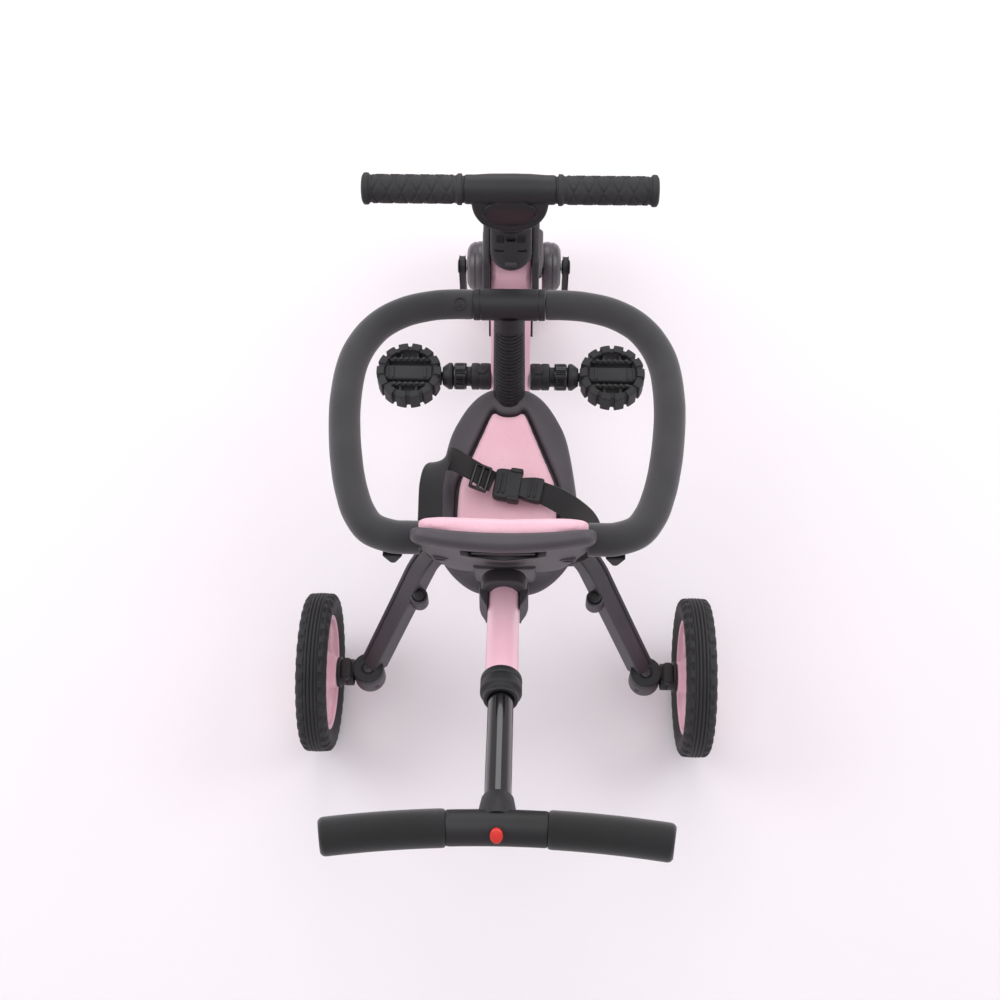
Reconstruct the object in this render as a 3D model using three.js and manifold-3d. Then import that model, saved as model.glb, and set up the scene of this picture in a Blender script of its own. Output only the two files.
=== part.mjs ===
// A children's tricycle with a parent push bar, a guard ring and rear arms that swing in.
// Millimetres, +Y forward, +X to the rider's right, +Z up. The origin is under the middle of the
// footprint, on the ground. Inside the group, y is measured forward from the rear axle.
import * as THREE from "three";
import { mergeVertices } from "three/addons/utils/BufferGeometryUtils.js";
import Module from "manifold-3d";

const wasm = await Module();
wasm.setup();

const degrees = THREE.MathUtils.degToRad;
const vector = (x, y, z) => new THREE.Vector3(x, y, z);

// ---------------------------------------------------------------- driving dimensions
const GAP = 0.3; // between faces that rest on each other
const RUNNING = 0.4; // radial, round a pin or a shaft

const WHEELBASE = 538;
const TRACK = 424; // between the middles of the rear tyres
const TYRE_WIDTH = 34;
const REAR_RADIUS = 90;
const FRONT_RADIUS = 117;
const TYRE_DEPTH = 25; // from the tread in to the wheel disc
const AXLE_RADIUS = 5;

const HEAD_TILT = 25; // degrees the steering axis leans back
const HEAD_RADIUS = 22.5;
const HEAD_LOW = 178; // along the steering axis, from the front axle
const HEAD_HIGH = 343;
const STEERER_RADIUS = 11;
const FORK_INSIDE = 53; // between the fork's legs
const FORK_LEG = 9;
const CROWN_LOW = 132;
const BAR_HEIGHT = 446; // handlebar above the front axle, along the steering axis
const BAR_WIDTH = 287;
const BAR_RADIUS = 9;
const GRIP_RADIUS = 14;
const GRIP_LENGTH = 97;
const CRANK_LENGTH = 66;
const COVER_RADIUS = 32; // axle housing beside the front wheel
const COVER_REACH = 60; // from the middle plane out to its face

const BEAM_WIDTH = 43.5;
const BEAM_DEPTH = 44;
const BEAM_CHAMFER = 6;
const PEDAL_Y = 296; // parked pedals' spindle
const PEDAL_Z = 254;
const SOCKET_RADIUS = 15;
const SOCKET_LENGTH = 54;
const SPINDLE_RADIUS = 5;
const PEDAL_LENGTH = 73; // along its spindle
const PEDAL_DEPTH = 71;
const PEDAL_HEIGHT = 25;

const PIVOT_X = 71; // arm hinges, under the seat
const PIVOT_Y = 100;
const PIVOT_Z = 231;
const PIVOT_RADIUS = 5;
const EYE_RADIUS = 16;
const EYE_HEIGHT = 34;
const ARM_WIDTH = 22;
const ARM_DEPTH = 29;
const KNUCKLE_X = 157;
const KNUCKLE_RADIUS = 17.5;
const KNUCKLE_LOW = 72;
const KNUCKLE_HIGH = 98;
const KNUCKLE_CAP = 9;
const STUB_RADIUS = 15;

const SEAT_LOW = 297;
const SEAT_HEIGHT = 37;
const CUSHION_HEIGHT = 18;
const CUSHION_PROUD = 6;
const BASE_RADIUS = 50;
const BASE_Y = 74;
const BACK_TILT = 13; // degrees the backrest leans back
const BACK_HEIGHT = 156;
const BACK_TOP_WIDTH = 158;
const BACK_BOTTOM_WIDTH = 112;
const BACK_Y = 19;
const BACK_Z = 384;
const PAD_DEPTH = 12;

const RING_RADIUS = 15; // foam tube
const RING_LENGTH = 284;
const RING_REAR_Z = 480;
const RING_DROP = 10.7; // degrees it falls towards the front
const RING_SLEEVE = 72; // hard sleeve at the front

const HANDLE_RISE = 27.4; // degrees above level, going back
const HANDLE_Y = -26;
const HANDLE_Z = 412;
const HANDLE_LENGTH = 272; // from the bracket to the push bar's middle
const OUTER_TUBE = 14.5;
const INNER_TUBE = 11;
const OUTER_TUBE_LENGTH = 121;
const PUSH_WIDTH = 272;
const PUSH_SWEEP = 12; // how far its ends sweep back
const PUSH_RADIUS = 15;
const PUSH_CORE = 79; // bare plastic between the foam grips

// ---------------------------------------------------------------- materials
const finish = (color, roughness, metalness = 0) =>
  new THREE.MeshStandardMaterial({ color, roughness, metalness });
const PINK = [0xf0c0cf, 0.35];
const GREY = [0x4a474b, 0.5];
const BLACK = [0x1c1b1d, 0.6];
const RUBBER = [0x242324, 0.85];
const FOAM = [0x2b2a2c, 0.95];
const STEEL = [0xb8babd, 0.3, 0.9];
const WEBBING = [0x17161a, 0.9];
const RED = [0xd8332c, 0.35];

// ---------------------------------------------------------------- making solids
// A closed three.js geometry as a manifold solid, with its faces turned outwards.
function solid(geometry) {
  const bare = geometry.index ? geometry.toNonIndexed() : geometry;
  const positions = new THREE.BufferGeometry();
  positions.setAttribute("position", bare.getAttribute("position"));
  const merged = mergeVertices(positions, 1e-4);
  const index = Array.from(merged.index.array);
  const triangles = [];
  for (let i = 0; i < index.length; i += 3) {
    const [a, b, c] = index.slice(i, i + 3);
    if (a !== b && b !== c && c !== a) triangles.push(a, b, c);
  }
  const made = (order) =>
    new wasm.Manifold(
      new wasm.Mesh({
        numProp: 3,
        vertProperties: merged.attributes.position.array,
        triVerts: new Uint32Array(order),
      }),
    );
  const first = made(triangles);
  return first.volume() > 0 ? first : made(triangles.reverse());
}

// The geometry of a manifold solid, faceted as it is.
function geometryOf(shape) {
  const mesh = shape.getMesh();
  const geometry = new THREE.BufferGeometry();
  geometry.setAttribute("position", new THREE.BufferAttribute(mesh.vertProperties, 3));
  geometry.setIndex(new THREE.BufferAttribute(mesh.triVerts, 1));
  const flat = geometry.toNonIndexed();
  flat.computeVertexNormals();
  return flat;
}

const join = (...shapes) => shapes.reduce((a, b) => a.add(b));
const cut = (shape, ...tools) => tools.reduce((a, b) => a.subtract(b), shape);

// Turns a shape made along +Z so that it runs along a direction, starting from a point.
function along(geometry, direction, from) {
  const turn = new THREE.Quaternion().setFromUnitVectors(
    vector(0, 0, 1),
    direction.clone().normalize(),
  );
  return geometry.applyQuaternion(turn).translate(from.x, from.y, from.z);
}

// A round bar from one point to another, which may taper.
function bar(from, to, radius, endRadius = radius, sides = 18) {
  const length = from.distanceTo(to);
  const round = new THREE.CylinderGeometry(endRadius, radius, length, sides);
  round.rotateX(Math.PI / 2).translate(0, 0, length / 2);
  return solid(along(round, to.clone().sub(from), from));
}

// A round bar across the tricycle, between two values of x.
const crossBar = (x0, x1, y, z, radius, sides = 18) =>
  bar(vector(x0, y, z), vector(x1, y, z), radius, radius, sides);

// A profile of [radius, distance along the axis] pairs, turned round an axis through a point.
function turned(profile, axis, centre, sides = 40) {
  const points = profile.map(([radius, along]) => new THREE.Vector2(radius, along));
  points.push(points[0].clone());
  const lathe = new THREE.LatheGeometry(points, sides).rotateX(Math.PI / 2);
  return solid(along(lathe, axis, centre));
}

// A box between two corners.
function box(low, high) {
  const size = high.clone().sub(low);
  const middle = low.clone().add(high).multiplyScalar(0.5);
  const geometry = new THREE.BoxGeometry(size.x, size.y, size.z);
  return solid(geometry.translate(middle.x, middle.y, middle.z));
}

// An outline extruded between two distances, with its edges bevelled inside the outline.
function extruded(shape, start, end, bevel, curveSegments = 5) {
  const options = {
    depth: end - start - 2 * bevel,
    bevelEnabled: bevel > 0,
    bevelSize: bevel,
    bevelOffset: -bevel,
    bevelThickness: bevel,
    bevelSegments: 1,
    curveSegments,
  };
  return new THREE.ExtrudeGeometry(shape, options).translate(0, 0, start + bevel);
}

// An outline drawn in plan (x, y) between two heights.
const slab = (shape, z0, z1, bevel = 0, curve = 5) => solid(extruded(shape, z0, z1, bevel, curve));

// An outline drawn in side view (y, z), between two values of x.
function cheek(shape, x0, x1, bevel = 0, curve = 5) {
  const basis = new THREE.Matrix4().makeBasis(vector(0, 1, 0), vector(0, 0, 1), vector(1, 0, 0));
  return solid(extruded(shape, x0, x1, bevel, curve).applyMatrix4(basis));
}

// An outline drawn in front view (x, z), between two values of y.
function panel(shape, y0, y1, bevel = 0, curve = 5) {
  const basis = new THREE.Matrix4().makeBasis(vector(1, 0, 0), vector(0, 0, 1), vector(0, -1, 0));
  return solid(extruded(shape, -y1, -y0, bevel, curve).applyMatrix4(basis));
}

// An outline through points, mirrored across x = 0, from its front point round to its rear one.
function symmetricOutline(points, samples) {
  const curve = new THREE.SplineCurve(points.map(([x, y]) => new THREE.Vector2(x, y)));
  const right = curve.getPoints(samples);
  const left = right.slice(1, -1).reverse();
  return new THREE.Shape([...right, ...left.map((p) => new THREE.Vector2(-p.x, p.y))]);
}

// A rectangle with rounded corners, about a centre.
function roundedRectangle(width, height, radius, cx = 0, cy = 0) {
  const w = width / 2;
  const h = height / 2;
  const shape = new THREE.Shape();
  shape.absarc(cx + w - radius, cy + h - radius, radius, 0, Math.PI / 2, false);
  shape.absarc(cx - w + radius, cy + h - radius, radius, Math.PI / 2, Math.PI, false);
  shape.absarc(cx - w + radius, cy - h + radius, radius, Math.PI, 1.5 * Math.PI, false);
  shape.absarc(cx + w - radius, cy - h + radius, radius, 1.5 * Math.PI, 2 * Math.PI, false);
  return shape;
}

// A band of a given depth along a curve, as an outline.
function band(curve, depth, from, to, samples, lift = 0) {
  const upper = [];
  const lower = [];
  for (let i = 0; i <= samples; i++) {
    const at = from + ((to - from) * i) / samples;
    const point = curve.getPointAt(at);
    const tangent = curve.getTangentAt(at);
    const normal = new THREE.Vector2(tangent.y, -tangent.x);
    upper.push(point.clone().addScaledVector(normal, lift + depth / 2));
    lower.push(point.clone().addScaledVector(normal, lift - depth / 2));
  }
  return new THREE.Shape([...upper, ...lower.reverse()]);
}

// A round section carried along a curve.
function swept(curve, radius, steps, sides = 14) {
  const section = new THREE.Shape();
  section.absarc(0, 0, radius, 0, 2 * Math.PI, false);
  const options = { steps, extrudePath: curve, bevelEnabled: false, curveSegments: sides };
  return solid(new THREE.ExtrudeGeometry(section, options));
}

// Flat webbing through stations of [centre, direction across], as one closed strip.
function webbing(stations, width, thickness) {
  const corners = [];
  stations.forEach(([centre, across], i) => {
    const before = stations[Math.max(i - 1, 0)][0];
    const after = stations[Math.min(i + 1, stations.length - 1)][0];
    const side = across.clone().normalize().multiplyScalar(width / 2);
    const up = side.clone().cross(after.clone().sub(before)).normalize();
    up.multiplyScalar(thickness / 2);
    for (const [s, u] of [[1, 1], [-1, 1], [-1, -1], [1, -1]])
      corners.push(centre.clone().addScaledVector(side, s).addScaledVector(up, u));
  });
  const triangles = [];
  for (let i = 0; i + 1 < stations.length; i++)
    for (let k = 0; k < 4; k++) {
      const [a, b] = [4 * i + k, 4 * i + ((k + 1) % 4)];
      triangles.push(a, b, b + 4, a, b + 4, a + 4);
    }
  const last = 4 * (stations.length - 1);
  triangles.push(0, 2, 1, 0, 3, 2, last, last + 1, last + 2, last, last + 2, last + 3);
  const geometry = new THREE.BufferGeometry().setFromPoints(corners);
  return solid(geometry.setIndex(triangles));
}

const mirrored = (shape) => shape.mirror([1, 0, 0]);

// A solid made in one group's frame, as it lies in another's.
function moved(shape, from, to) {
  from.updateWorldMatrix(true, false);
  to.updateWorldMatrix(true, false);
  return shape.transform(to.matrixWorld.clone().invert().multiply(from.matrixWorld).elements);
}

const tricycle = new THREE.Group();

// Adds a shape to a group as a named mesh.
function piece(group, name, shape, look) {
  const mesh = new THREE.Mesh(geometryOf(shape), finish(...look));
  mesh.name = name;
  group.add(mesh);
}

// The same piece on both sides. The shape is made for the right (+x) side.
function pair(group, name, shape, look) {
  piece(group, `${name}_right`, shape, look);
  piece(group, `${name}_left`, mirrored(shape), look);
}

// ---------------------------------------------------------------- wheels
// Tyre: a ring with rounded shoulders round a disc, about an axis across the tricycle.
function tyre(radius, x, y, z, sides) {
  const half = TYRE_WIDTH / 2;
  const inner = radius - TYRE_DEPTH;
  const profile = [
    [inner, -half + 5], [radius - 9, -half], [radius - 2.5, -half + 2.5], [radius, -half + 7],
    [radius, half - 7], [radius - 2.5, half - 2.5], [radius - 9, half], [inner, half - 5],
  ];
  return turned(profile, vector(1, 0, 0), vector(x, y, z), sides);
}

// Wheel disc: a rim, a dished web and a hub, with a bore for the axle.
function wheelDisc(radius, hubRadius, hubHalf, x, y, z, sides) {
  const rim = radius - TYRE_DEPTH - GAP;
  const half = TYRE_WIDTH / 2 - 5;
  const bore = AXLE_RADIUS + RUNNING;
  const web = 4;
  const profile = [
    [bore, -hubHalf], [hubRadius, -hubHalf], [hubRadius, -web], [rim - 6, -web], [rim - 6, -half],
    [rim, -half], [rim, half], [rim - 6, half], [rim - 6, web], [hubRadius, web],
    [hubRadius, hubHalf], [bore, hubHalf],
  ];
  return turned(profile, vector(1, 0, 0), vector(x, y, z), sides);
}

const REAR_X = TRACK / 2;
const REAR_HUB_HALF = 19;
pair(tricycle, "rear_tyre", tyre(REAR_RADIUS, REAR_X, 0, REAR_RADIUS, 32), RUBBER);
pair(
  tricycle,
  "rear_disc",
  wheelDisc(REAR_RADIUS, 17, REAR_HUB_HALF, REAR_X, 0, REAR_RADIUS, 32),
  PINK,
);

// ---------------------------------------------------------------- knuckles and rear arms
// Knuckle: a cap over the arm's end with its hinge pin, and a stub that carries the wheel's axle.
function knuckle() {
  const capLow = KNUCKLE_HIGH + GAP;
  const capHigh = capLow + KNUCKLE_CAP;
  const reach = REAR_X - REAR_HUB_HALF - 0.5;
  const webOut = KNUCKLE_X + KNUCKLE_RADIUS + 13;
  const z = REAR_RADIUS;
  const cap = bar(vector(KNUCKLE_X, 0, capLow), vector(KNUCKLE_X, 0, capHigh), KNUCKLE_RADIUS);
  const web = cut(
    box(vector(KNUCKLE_X, -STUB_RADIUS + 3, z - STUB_RADIUS + 1), vector(webOut, STUB_RADIUS - 3, capHigh)),
    bar(vector(KNUCKLE_X, 0, 0), vector(KNUCKLE_X, 0, capLow), KNUCKLE_RADIUS + 0.6),
  );
  const pin = bar(vector(KNUCKLE_X, 0, KNUCKLE_LOW + 4), vector(KNUCKLE_X, 0, capHigh), 4);
  const stub = crossBar(webOut - 12, reach, 0, z, STUB_RADIUS);
  const flange = crossBar(reach - 4, reach, 0, z, STUB_RADIUS + 2.5);
  const axle = crossBar(reach - 1, REAR_X + REAR_HUB_HALF - 2, 0, z, AXLE_RADIUS);
  return join(cap, web, pin, stub, flange, axle);
}

// Arm: a barrel round the knuckle's pin, a sloping box beam and an eye on the hinge at the hub.
function arm() {
  const foot = vector(KNUCKLE_X - 4, 9, (KNUCKLE_LOW + KNUCKLE_HIGH) / 2 + 6);
  const pivot = vector(PIVOT_X, PIVOT_Y, PIVOT_Z);
  const plan = vector(KNUCKLE_X - PIVOT_X, -PIVOT_Y, 0).normalize();
  const elbow = pivot.clone().addScaledVector(plan, 27);
  const eyeLow = PIVOT_Z - EYE_HEIGHT / 2;
  const eyeHigh = PIVOT_Z + EYE_HEIGHT / 2;
  const barrel = bar(
    vector(KNUCKLE_X, 0, KNUCKLE_LOW), vector(KNUCKLE_X, 0, KNUCKLE_HIGH), KNUCKLE_RADIUS);
  const eye = bar(vector(pivot.x, pivot.y, eyeLow), vector(pivot.x, pivot.y, eyeHigh), EYE_RADIUS);
  const beamShape = extruded(roundedRectangle(ARM_WIDTH, ARM_DEPTH, 3), 0, foot.distanceTo(elbow), 0, 2);
  const run = elbow.clone().sub(foot).normalize();
  const side = run.clone().cross(vector(0, 0, 1)).normalize();
  const up = side.clone().cross(run);
  beamShape.applyMatrix4(new THREE.Matrix4().makeBasis(side, up, run));
  const beam = solid(beamShape.translate(foot.x, foot.y, foot.z));
  const linkBox = extruded(roundedRectangle(ARM_WIDTH, EYE_HEIGHT, 2), 0, 30, 0, 2);
  const across = plan.clone().cross(vector(0, 0, 1)).normalize();
  linkBox.applyMatrix4(new THREE.Matrix4().makeBasis(across, vector(0, 0, 1), plan));
  const link = solid(linkBox.translate(pivot.x, pivot.y, pivot.z));
  const capRoom = bar(
    vector(KNUCKLE_X, 0, KNUCKLE_HIGH), vector(KNUCKLE_X, 0, KNUCKLE_HIGH + 20), KNUCKLE_RADIUS + 1);
  const whole = join(cut(beam, capRoom), barrel, eye, link);
  const pinRoom = bar(
    vector(KNUCKLE_X, 0, KNUCKLE_LOW + 3), vector(KNUCKLE_X, 0, KNUCKLE_HIGH + 30), 4 + RUNNING);
  const boltRoom = bar(
    vector(pivot.x, pivot.y, eyeLow - 9), vector(pivot.x, pivot.y, eyeHigh + 9), PIVOT_RADIUS + RUNNING);
  return cut(whole, pinRoom, boltRoom, armButtonBody(GAP, 3));
}

// Release button on the arm's inner side, near the hub: a short upright plunger.
const BUTTON = vector(95, 49, 205);
const BUTTON_RADIUS = 6.5;
function armButtonBody(clearance, room = 0) {
  const low = BUTTON.clone().add(vector(0, 0, -12 - room));
  return bar(low, BUTTON.clone().add(vector(0, 0, 8)), BUTTON_RADIUS + clearance, undefined, 16);
}

pair(tricycle, "knuckle", knuckle(), BLACK);
pair(tricycle, "arm", arm(), GREY);
pair(tricycle, "arm_button", armButtonBody(0), BLACK);

// ---------------------------------------------------------------- main beam
// The centre line in side view: straight down from the head, then levelling out under the seat.
const beamLine = new THREE.SplineCurve(
  [[383, 368], [340, 307], [300, 250], [262, 222], [210, 215], [148, 222]].map(
    ([y, z]) => new THREE.Vector2(y, z),
  ),
);
function mainBeam() {
  const outline = band(beamLine, BEAM_DEPTH, 0, 1, 16);
  const body = cheek(outline, -BEAM_WIDTH / 2, BEAM_WIDTH / 2, BEAM_CHAMFER);
  return cut(body, foldPin(RUNNING, BEAM_WIDTH), cut(endCorner(), foldSweep()));
}

// The corner of the beam's end ahead of the fold pin, and the round it is trimmed to, so that the
// latch cap passes over it as the head folds.
function endCorner() {
  const corner = new THREE.Shape([
    new THREE.Vector2(FOLD_PIN.y + 20, FOLD_PIN.z + 55),
    new THREE.Vector2(FOLD_PIN.y - 40, FOLD_PIN.z + 48),
    new THREE.Vector2(FOLD_PIN.y - 40 * 0.8195, FOLD_PIN.z + 40 * 0.573),
    new THREE.Vector2(FOLD_PIN.y, FOLD_PIN.z),
  ]);
  return cheek(corner, -BEAM_WIDTH, BEAM_WIDTH);
}
function foldSweep() {
  const start = beamLine.getPointAt(0);
  const down = beamLine.getTangentAt(0);
  const lift = (FOLD_PIN.y - start.x) * down.y - (FOLD_PIN.z - start.y) * down.x;
  return crossBar(-BEAM_WIDTH, BEAM_WIDTH, FOLD_PIN.y, FOLD_PIN.z, BEAM_DEPTH / 2 - lift - GAP, 36);
}

// Black channel under the beam, from the head down to just ahead of the pedals.
function beamCover() {
  const half = BEAM_WIDTH / 2 + GAP;
  const outer = band(beamLine, 30, 0.2, 0.31, 4, -(BEAM_DEPTH / 2 - 5));
  const inner = band(beamLine, BEAM_DEPTH + 2 * GAP, 0.15, 0.36, 6);
  return cut(cheek(outer, -half - 2.2, half + 2.2), cheek(inner, -half, half));
}

// ---------------------------------------------------------------- head
const axisUp = vector(0, -Math.sin(degrees(HEAD_TILT)), Math.cos(degrees(HEAD_TILT)));
const frontAxle = vector(0, WHEELBASE, FRONT_RADIUS);
const onAxis = (distance) => frontAxle.clone().addScaledVector(axisUp, distance);

// The fold pin crosses the beam's end low down, so that the joint opens at the top.
const FOLD_PIN = vector(0, 388, 346);
const foldPin = (clearance, width) =>
  crossBar(-width / 2 - 1, width / 2 + 1, FOLD_PIN.y, FOLD_PIN.z, 5 + clearance);

// Head: the tube for the steerer, and two cheeks that take the beam's end between them.
function headBlock() {
  const inner = BEAM_WIDTH / 2 + GAP;
  const cheekThickness = 8;
  const tube = bar(onAxis(HEAD_LOW), onAxis(HEAD_HIGH), HEAD_RADIUS);
  const outline = band(beamLine, BEAM_DEPTH + 6, 0, 0.17, 3);
  const start = beamLine.getPointAt(0);
  const nose = new THREE.Shape([
    new THREE.Vector2(start.x - 30, start.y + 14),
    new THREE.Vector2(start.x - 12, start.y - 50),
    new THREE.Vector2(start.x + 62, start.y - 40),
    new THREE.Vector2(start.x + 26, start.y + 34),
  ]);
  const slice = (shape) => cheek(shape, -inner - cheekThickness, inner + cheekThickness, 2);
  const plates = cut(
    join(slice(outline), slice(nose)),
    cheek(band(beamLine, BEAM_DEPTH + 40, 0, 0.25, 6), -inner, inner),
    atBeamEnd(new THREE.BoxGeometry(2 * inner, 60, 40), BEAM_DEPTH / 2 + 20, 0),
    beamEndRoom(inner),
  );
  const bore = bar(onAxis(HEAD_LOW - 30), onAxis(HEAD_HIGH + 30), STEERER_RADIUS + RUNNING);
  return cut(join(tube, plates, foldPin(0, 2 * inner + 2)), bore);
}

// Room for the beam's square end to turn about the fold pin, up to the head tube's wall.
function beamEndRoom(half) {
  const room = crossBar(-half, half, FOLD_PIN.y, FOLD_PIN.z, 47, 32);
  const keep = bar(onAxis(HEAD_LOW), onAxis(HEAD_HIGH), HEAD_RADIUS);
  return cut(room, keep);
}

// Places a geometry on the beam's upper end: x across, y down the beam, z out of its top face.
function atBeamEnd(geometry, lift, advance) {
  const start = beamLine.getPointAt(0);
  const down = beamLine.getTangentAt(0);
  const run = vector(0, down.x, down.y);
  const normal = vector(0, down.y, -down.x);
  const foot = vector(0, start.x, start.y).addScaledVector(normal, lift).addScaledVector(run, advance);
  const basis = new THREE.Matrix4().makeBasis(vector(-1, 0, 0), run, normal);
  return solid(geometry.applyMatrix4(basis).translate(foot.x, foot.y, foot.z));
}

// Latch cap: a hooded cover with a round lip, over the joint between head and beam.
const CAP_HEIGHT = 9;
const CAP_START = -38; // along the beam from its upper end
const CAP_END = 9;
function latchCap() {
  const half = BEAM_WIDTH / 2;
  const outline = new THREE.Shape();
  outline.moveTo(half, CAP_START);
  outline.lineTo(half, CAP_END - half);
  outline.absarc(0, CAP_END - half, half, 0, Math.PI, false);
  outline.lineTo(-half, CAP_START);
  const lid = atBeamEnd(extruded(outline, 0, CAP_HEIGHT, 2.5, 8), BEAM_DEPTH / 2 + GAP, 0);
  const tubeRoom = bar(onAxis(HEAD_LOW), onAxis(HEAD_HIGH + 30), HEAD_RADIUS + GAP);
  return cut(lid, latchButton(GAP, 3), tubeRoom);
}

// Latch button: an oval in the cap's lip.
function latchButton(clearance, room = 0) {
  const oval = roundedRectangle(13 + 2 * clearance, 5.5 + 2 * clearance, 2.7 + clearance);
  return atBeamEnd(extruded(oval, -room, CAP_HEIGHT, 0, 4), BEAM_DEPTH / 2 + 2, CAP_END - 8);
}

piece(tricycle, "main_beam", mainBeam(), PINK);
piece(tricycle, "beam_cover", beamCover(), BLACK);
piece(tricycle, "head_block", headBlock(), GREY);
piece(tricycle, "latch_cap", latchCap(), GREY);
piece(tricycle, "latch_button", latchButton(0), BLACK);

// ---------------------------------------------------------------- steering, about its own axis
// In this group +Z runs up the steering axis and the origin is the front axle.
const steering = new THREE.Group();
steering.position.copy(frontAxle);
steering.rotation.x = degrees(HEAD_TILT);
tricycle.add(steering);

function fork() {
  const inner = FORK_INSIDE / 2;
  const outer = inner + FORK_LEG;
  const leg = new THREE.Shape();
  leg.absarc(0, 0, 15, Math.PI, 2 * Math.PI, false);
  leg.lineTo(17, CROWN_LOW + 20);
  leg.lineTo(-17, CROWN_LOW + 20);
  const right = cheek(leg, inner, outer, 2);
  const crown = panel(
    roundedRectangle(2 * outer, HEAD_LOW - GAP - CROWN_LOW - 6, 10, 0, CROWN_LOW + 20), -17, 17, 2);
  const seat = bar(vector(0, 0, CROWN_LOW + 20), vector(0, 0, HEAD_LOW - GAP), 22);
  const axleRoom = crossBar(-outer - 5, outer + 5, 0, 0, AXLE_RADIUS + RUNNING);
  const steererRoom = bar(
    vector(0, 0, CROWN_LOW + 15), vector(0, 0, HEAD_LOW + 10), STEERER_RADIUS + GAP);
  return cut(join(right, mirrored(right), crown, seat), axleRoom, steererRoom);
}

function steerer() {
  const low = CROWN_LOW + 16;
  return bar(vector(0, 0, low), vector(0, 0, BAR_HEIGHT - GRIP_RADIUS - 2), STEERER_RADIUS);
}

// Stem cover: a tee round the handlebar, with an apron that narrows down to the steerer.
const TEE_HALF = 44;
function stemCover() {
  const tee = crossBar(-TEE_HALF, TEE_HALF, 0, BAR_HEIGHT, GRIP_RADIUS);
  const apron = new THREE.Shape();
  apron.moveTo(-40, BAR_HEIGHT);
  apron.quadraticCurveTo(-36, BAR_HEIGHT - 38, 0, BAR_HEIGHT - 42);
  apron.quadraticCurveTo(36, BAR_HEIGHT - 38, 40, BAR_HEIGHT);
  const front = apronTurn(panel(apron, -12, 9, 4));
  const neck = bar(
    vector(0, 0, HEAD_HIGH + GAP), vector(0, 0, BAR_HEIGHT - 20), HEAD_RADIUS + 1, HEAD_RADIUS - 5);
  const steererRoom = bar(
    vector(0, 0, HEAD_HIGH - 10), vector(0, 0, BAR_HEIGHT - GRIP_RADIUS - 2 + GAP),
    STEERER_RADIUS + GAP);
  const barRoom = crossBar(-TEE_HALF - 5, TEE_HALF + 5, 0, BAR_HEIGHT, BAR_RADIUS + GAP);
  return cut(join(tee, front, neck), steererRoom, barRoom, badge(GAP));
}

// The apron leans back from the handlebar, so that its face looks up at the rider.
const apronTurn = (shape) =>
  shape.translate([0, 0, -BAR_HEIGHT]).rotate([-50, 0, 0]).translate([0, 0, BAR_HEIGHT]);

// Badge: an oval plate let into the apron's face.
function badge(clearance) {
  const oval = new THREE.Shape();
  oval.absellipse(0, BAR_HEIGHT - 23, 28 + clearance, 14 + clearance, 0, 2 * Math.PI, false);
  return apronTurn(panel(oval, -14.5 - clearance, -10 + clearance, 0, 12));
}

function handlebar() {
  const half = BAR_WIDTH / 2 - 4;
  return crossBar(-half, half, 0, BAR_HEIGHT, BAR_RADIUS);
}

// Grip: a rubber sleeve with a flange at each end and a closed outer end.
function grip() {
  const end = BAR_WIDTH / 2;
  const start = end - GRIP_LENGTH;
  const r = GRIP_RADIUS;
  const profile = [
    [0, end], [r - 2, end], [r, end - 2], [r, end - 6], [r - 1.5, end - 7], [r - 1.5, start + 5],
    [r, start + 4], [r, start], [BAR_RADIUS + GAP, start], [BAR_RADIUS + GAP, end - 4 + GAP],
    [0, end - 4 + GAP],
  ];
  return turned(profile, vector(1, 0, 0), vector(0, 0, BAR_HEIGHT), 20);
}

// Axle cover: a domed housing between the fork's leg and the crank.
function axleCover() {
  const start = FORK_INSIDE / 2 + FORK_LEG + GAP;
  const r = COVER_RADIUS;
  const profile = [
    [AXLE_RADIUS + RUNNING, start], [r - 4, start], [r, start + 8], [r - 2, COVER_REACH - 8],
    [r - 9, COVER_REACH], [AXLE_RADIUS + RUNNING, COVER_REACH],
  ];
  return turned(profile, vector(1, 0, 0), vector(0, 0, 0), 24);
}

const CRANK_X = COVER_REACH + 5.5;
const CRANK_THICKNESS = 4.5;
function frontAxleBar() {
  return crossBar(-CRANK_X, CRANK_X, 0, 0, AXLE_RADIUS);
}

// Crank: a flat plate with round ends, bored for the axle and for a pedal's spindle.
function crank(turn) {
  const plate = new THREE.Shape();
  plate.absarc(0, 0, 13, 0, Math.PI, false);
  plate.absarc(0, -CRANK_LENGTH, 11, Math.PI, 2 * Math.PI, false);
  const end = CRANK_X + CRANK_THICKNESS;
  const blank = cheek(plate, CRANK_X - 3, end, 1);
  const hub = crossBar(COVER_REACH + 1, CRANK_X, 0, 0, 9);
  const axleRoom = crossBar(0, CRANK_X + GAP, 0, 0, AXLE_RADIUS + GAP);
  const eye = crossBar(CRANK_X - 9, end + 9, 0, -CRANK_LENGTH, 5);
  return cut(join(blank, hub), axleRoom, eye).rotate([turn, 0, 0]);
}

piece(steering, "fork", fork(), GREY);
piece(steering, "steerer", steerer(), STEEL);
piece(steering, "stem_cover", stemCover(), BLACK);
piece(steering, "badge", badge(0), BLACK);
piece(steering, "handlebar", handlebar(), STEEL);
pair(steering, "grip", grip(), RUBBER);
pair(steering, "axle_cover", axleCover(), GREY);
piece(steering, "front_tyre", tyre(FRONT_RADIUS, 0, 0, 0, 36), RUBBER);
piece(steering, "front_disc", wheelDisc(FRONT_RADIUS, 20, 25, 0, 0, 0, 36), PINK);
piece(steering, "front_axle", frontAxleBar(), STEEL);
piece(steering, "crank_right", crank(-30), STEEL);
piece(steering, "crank_left", mirrored(crank(-30)), STEEL);

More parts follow.
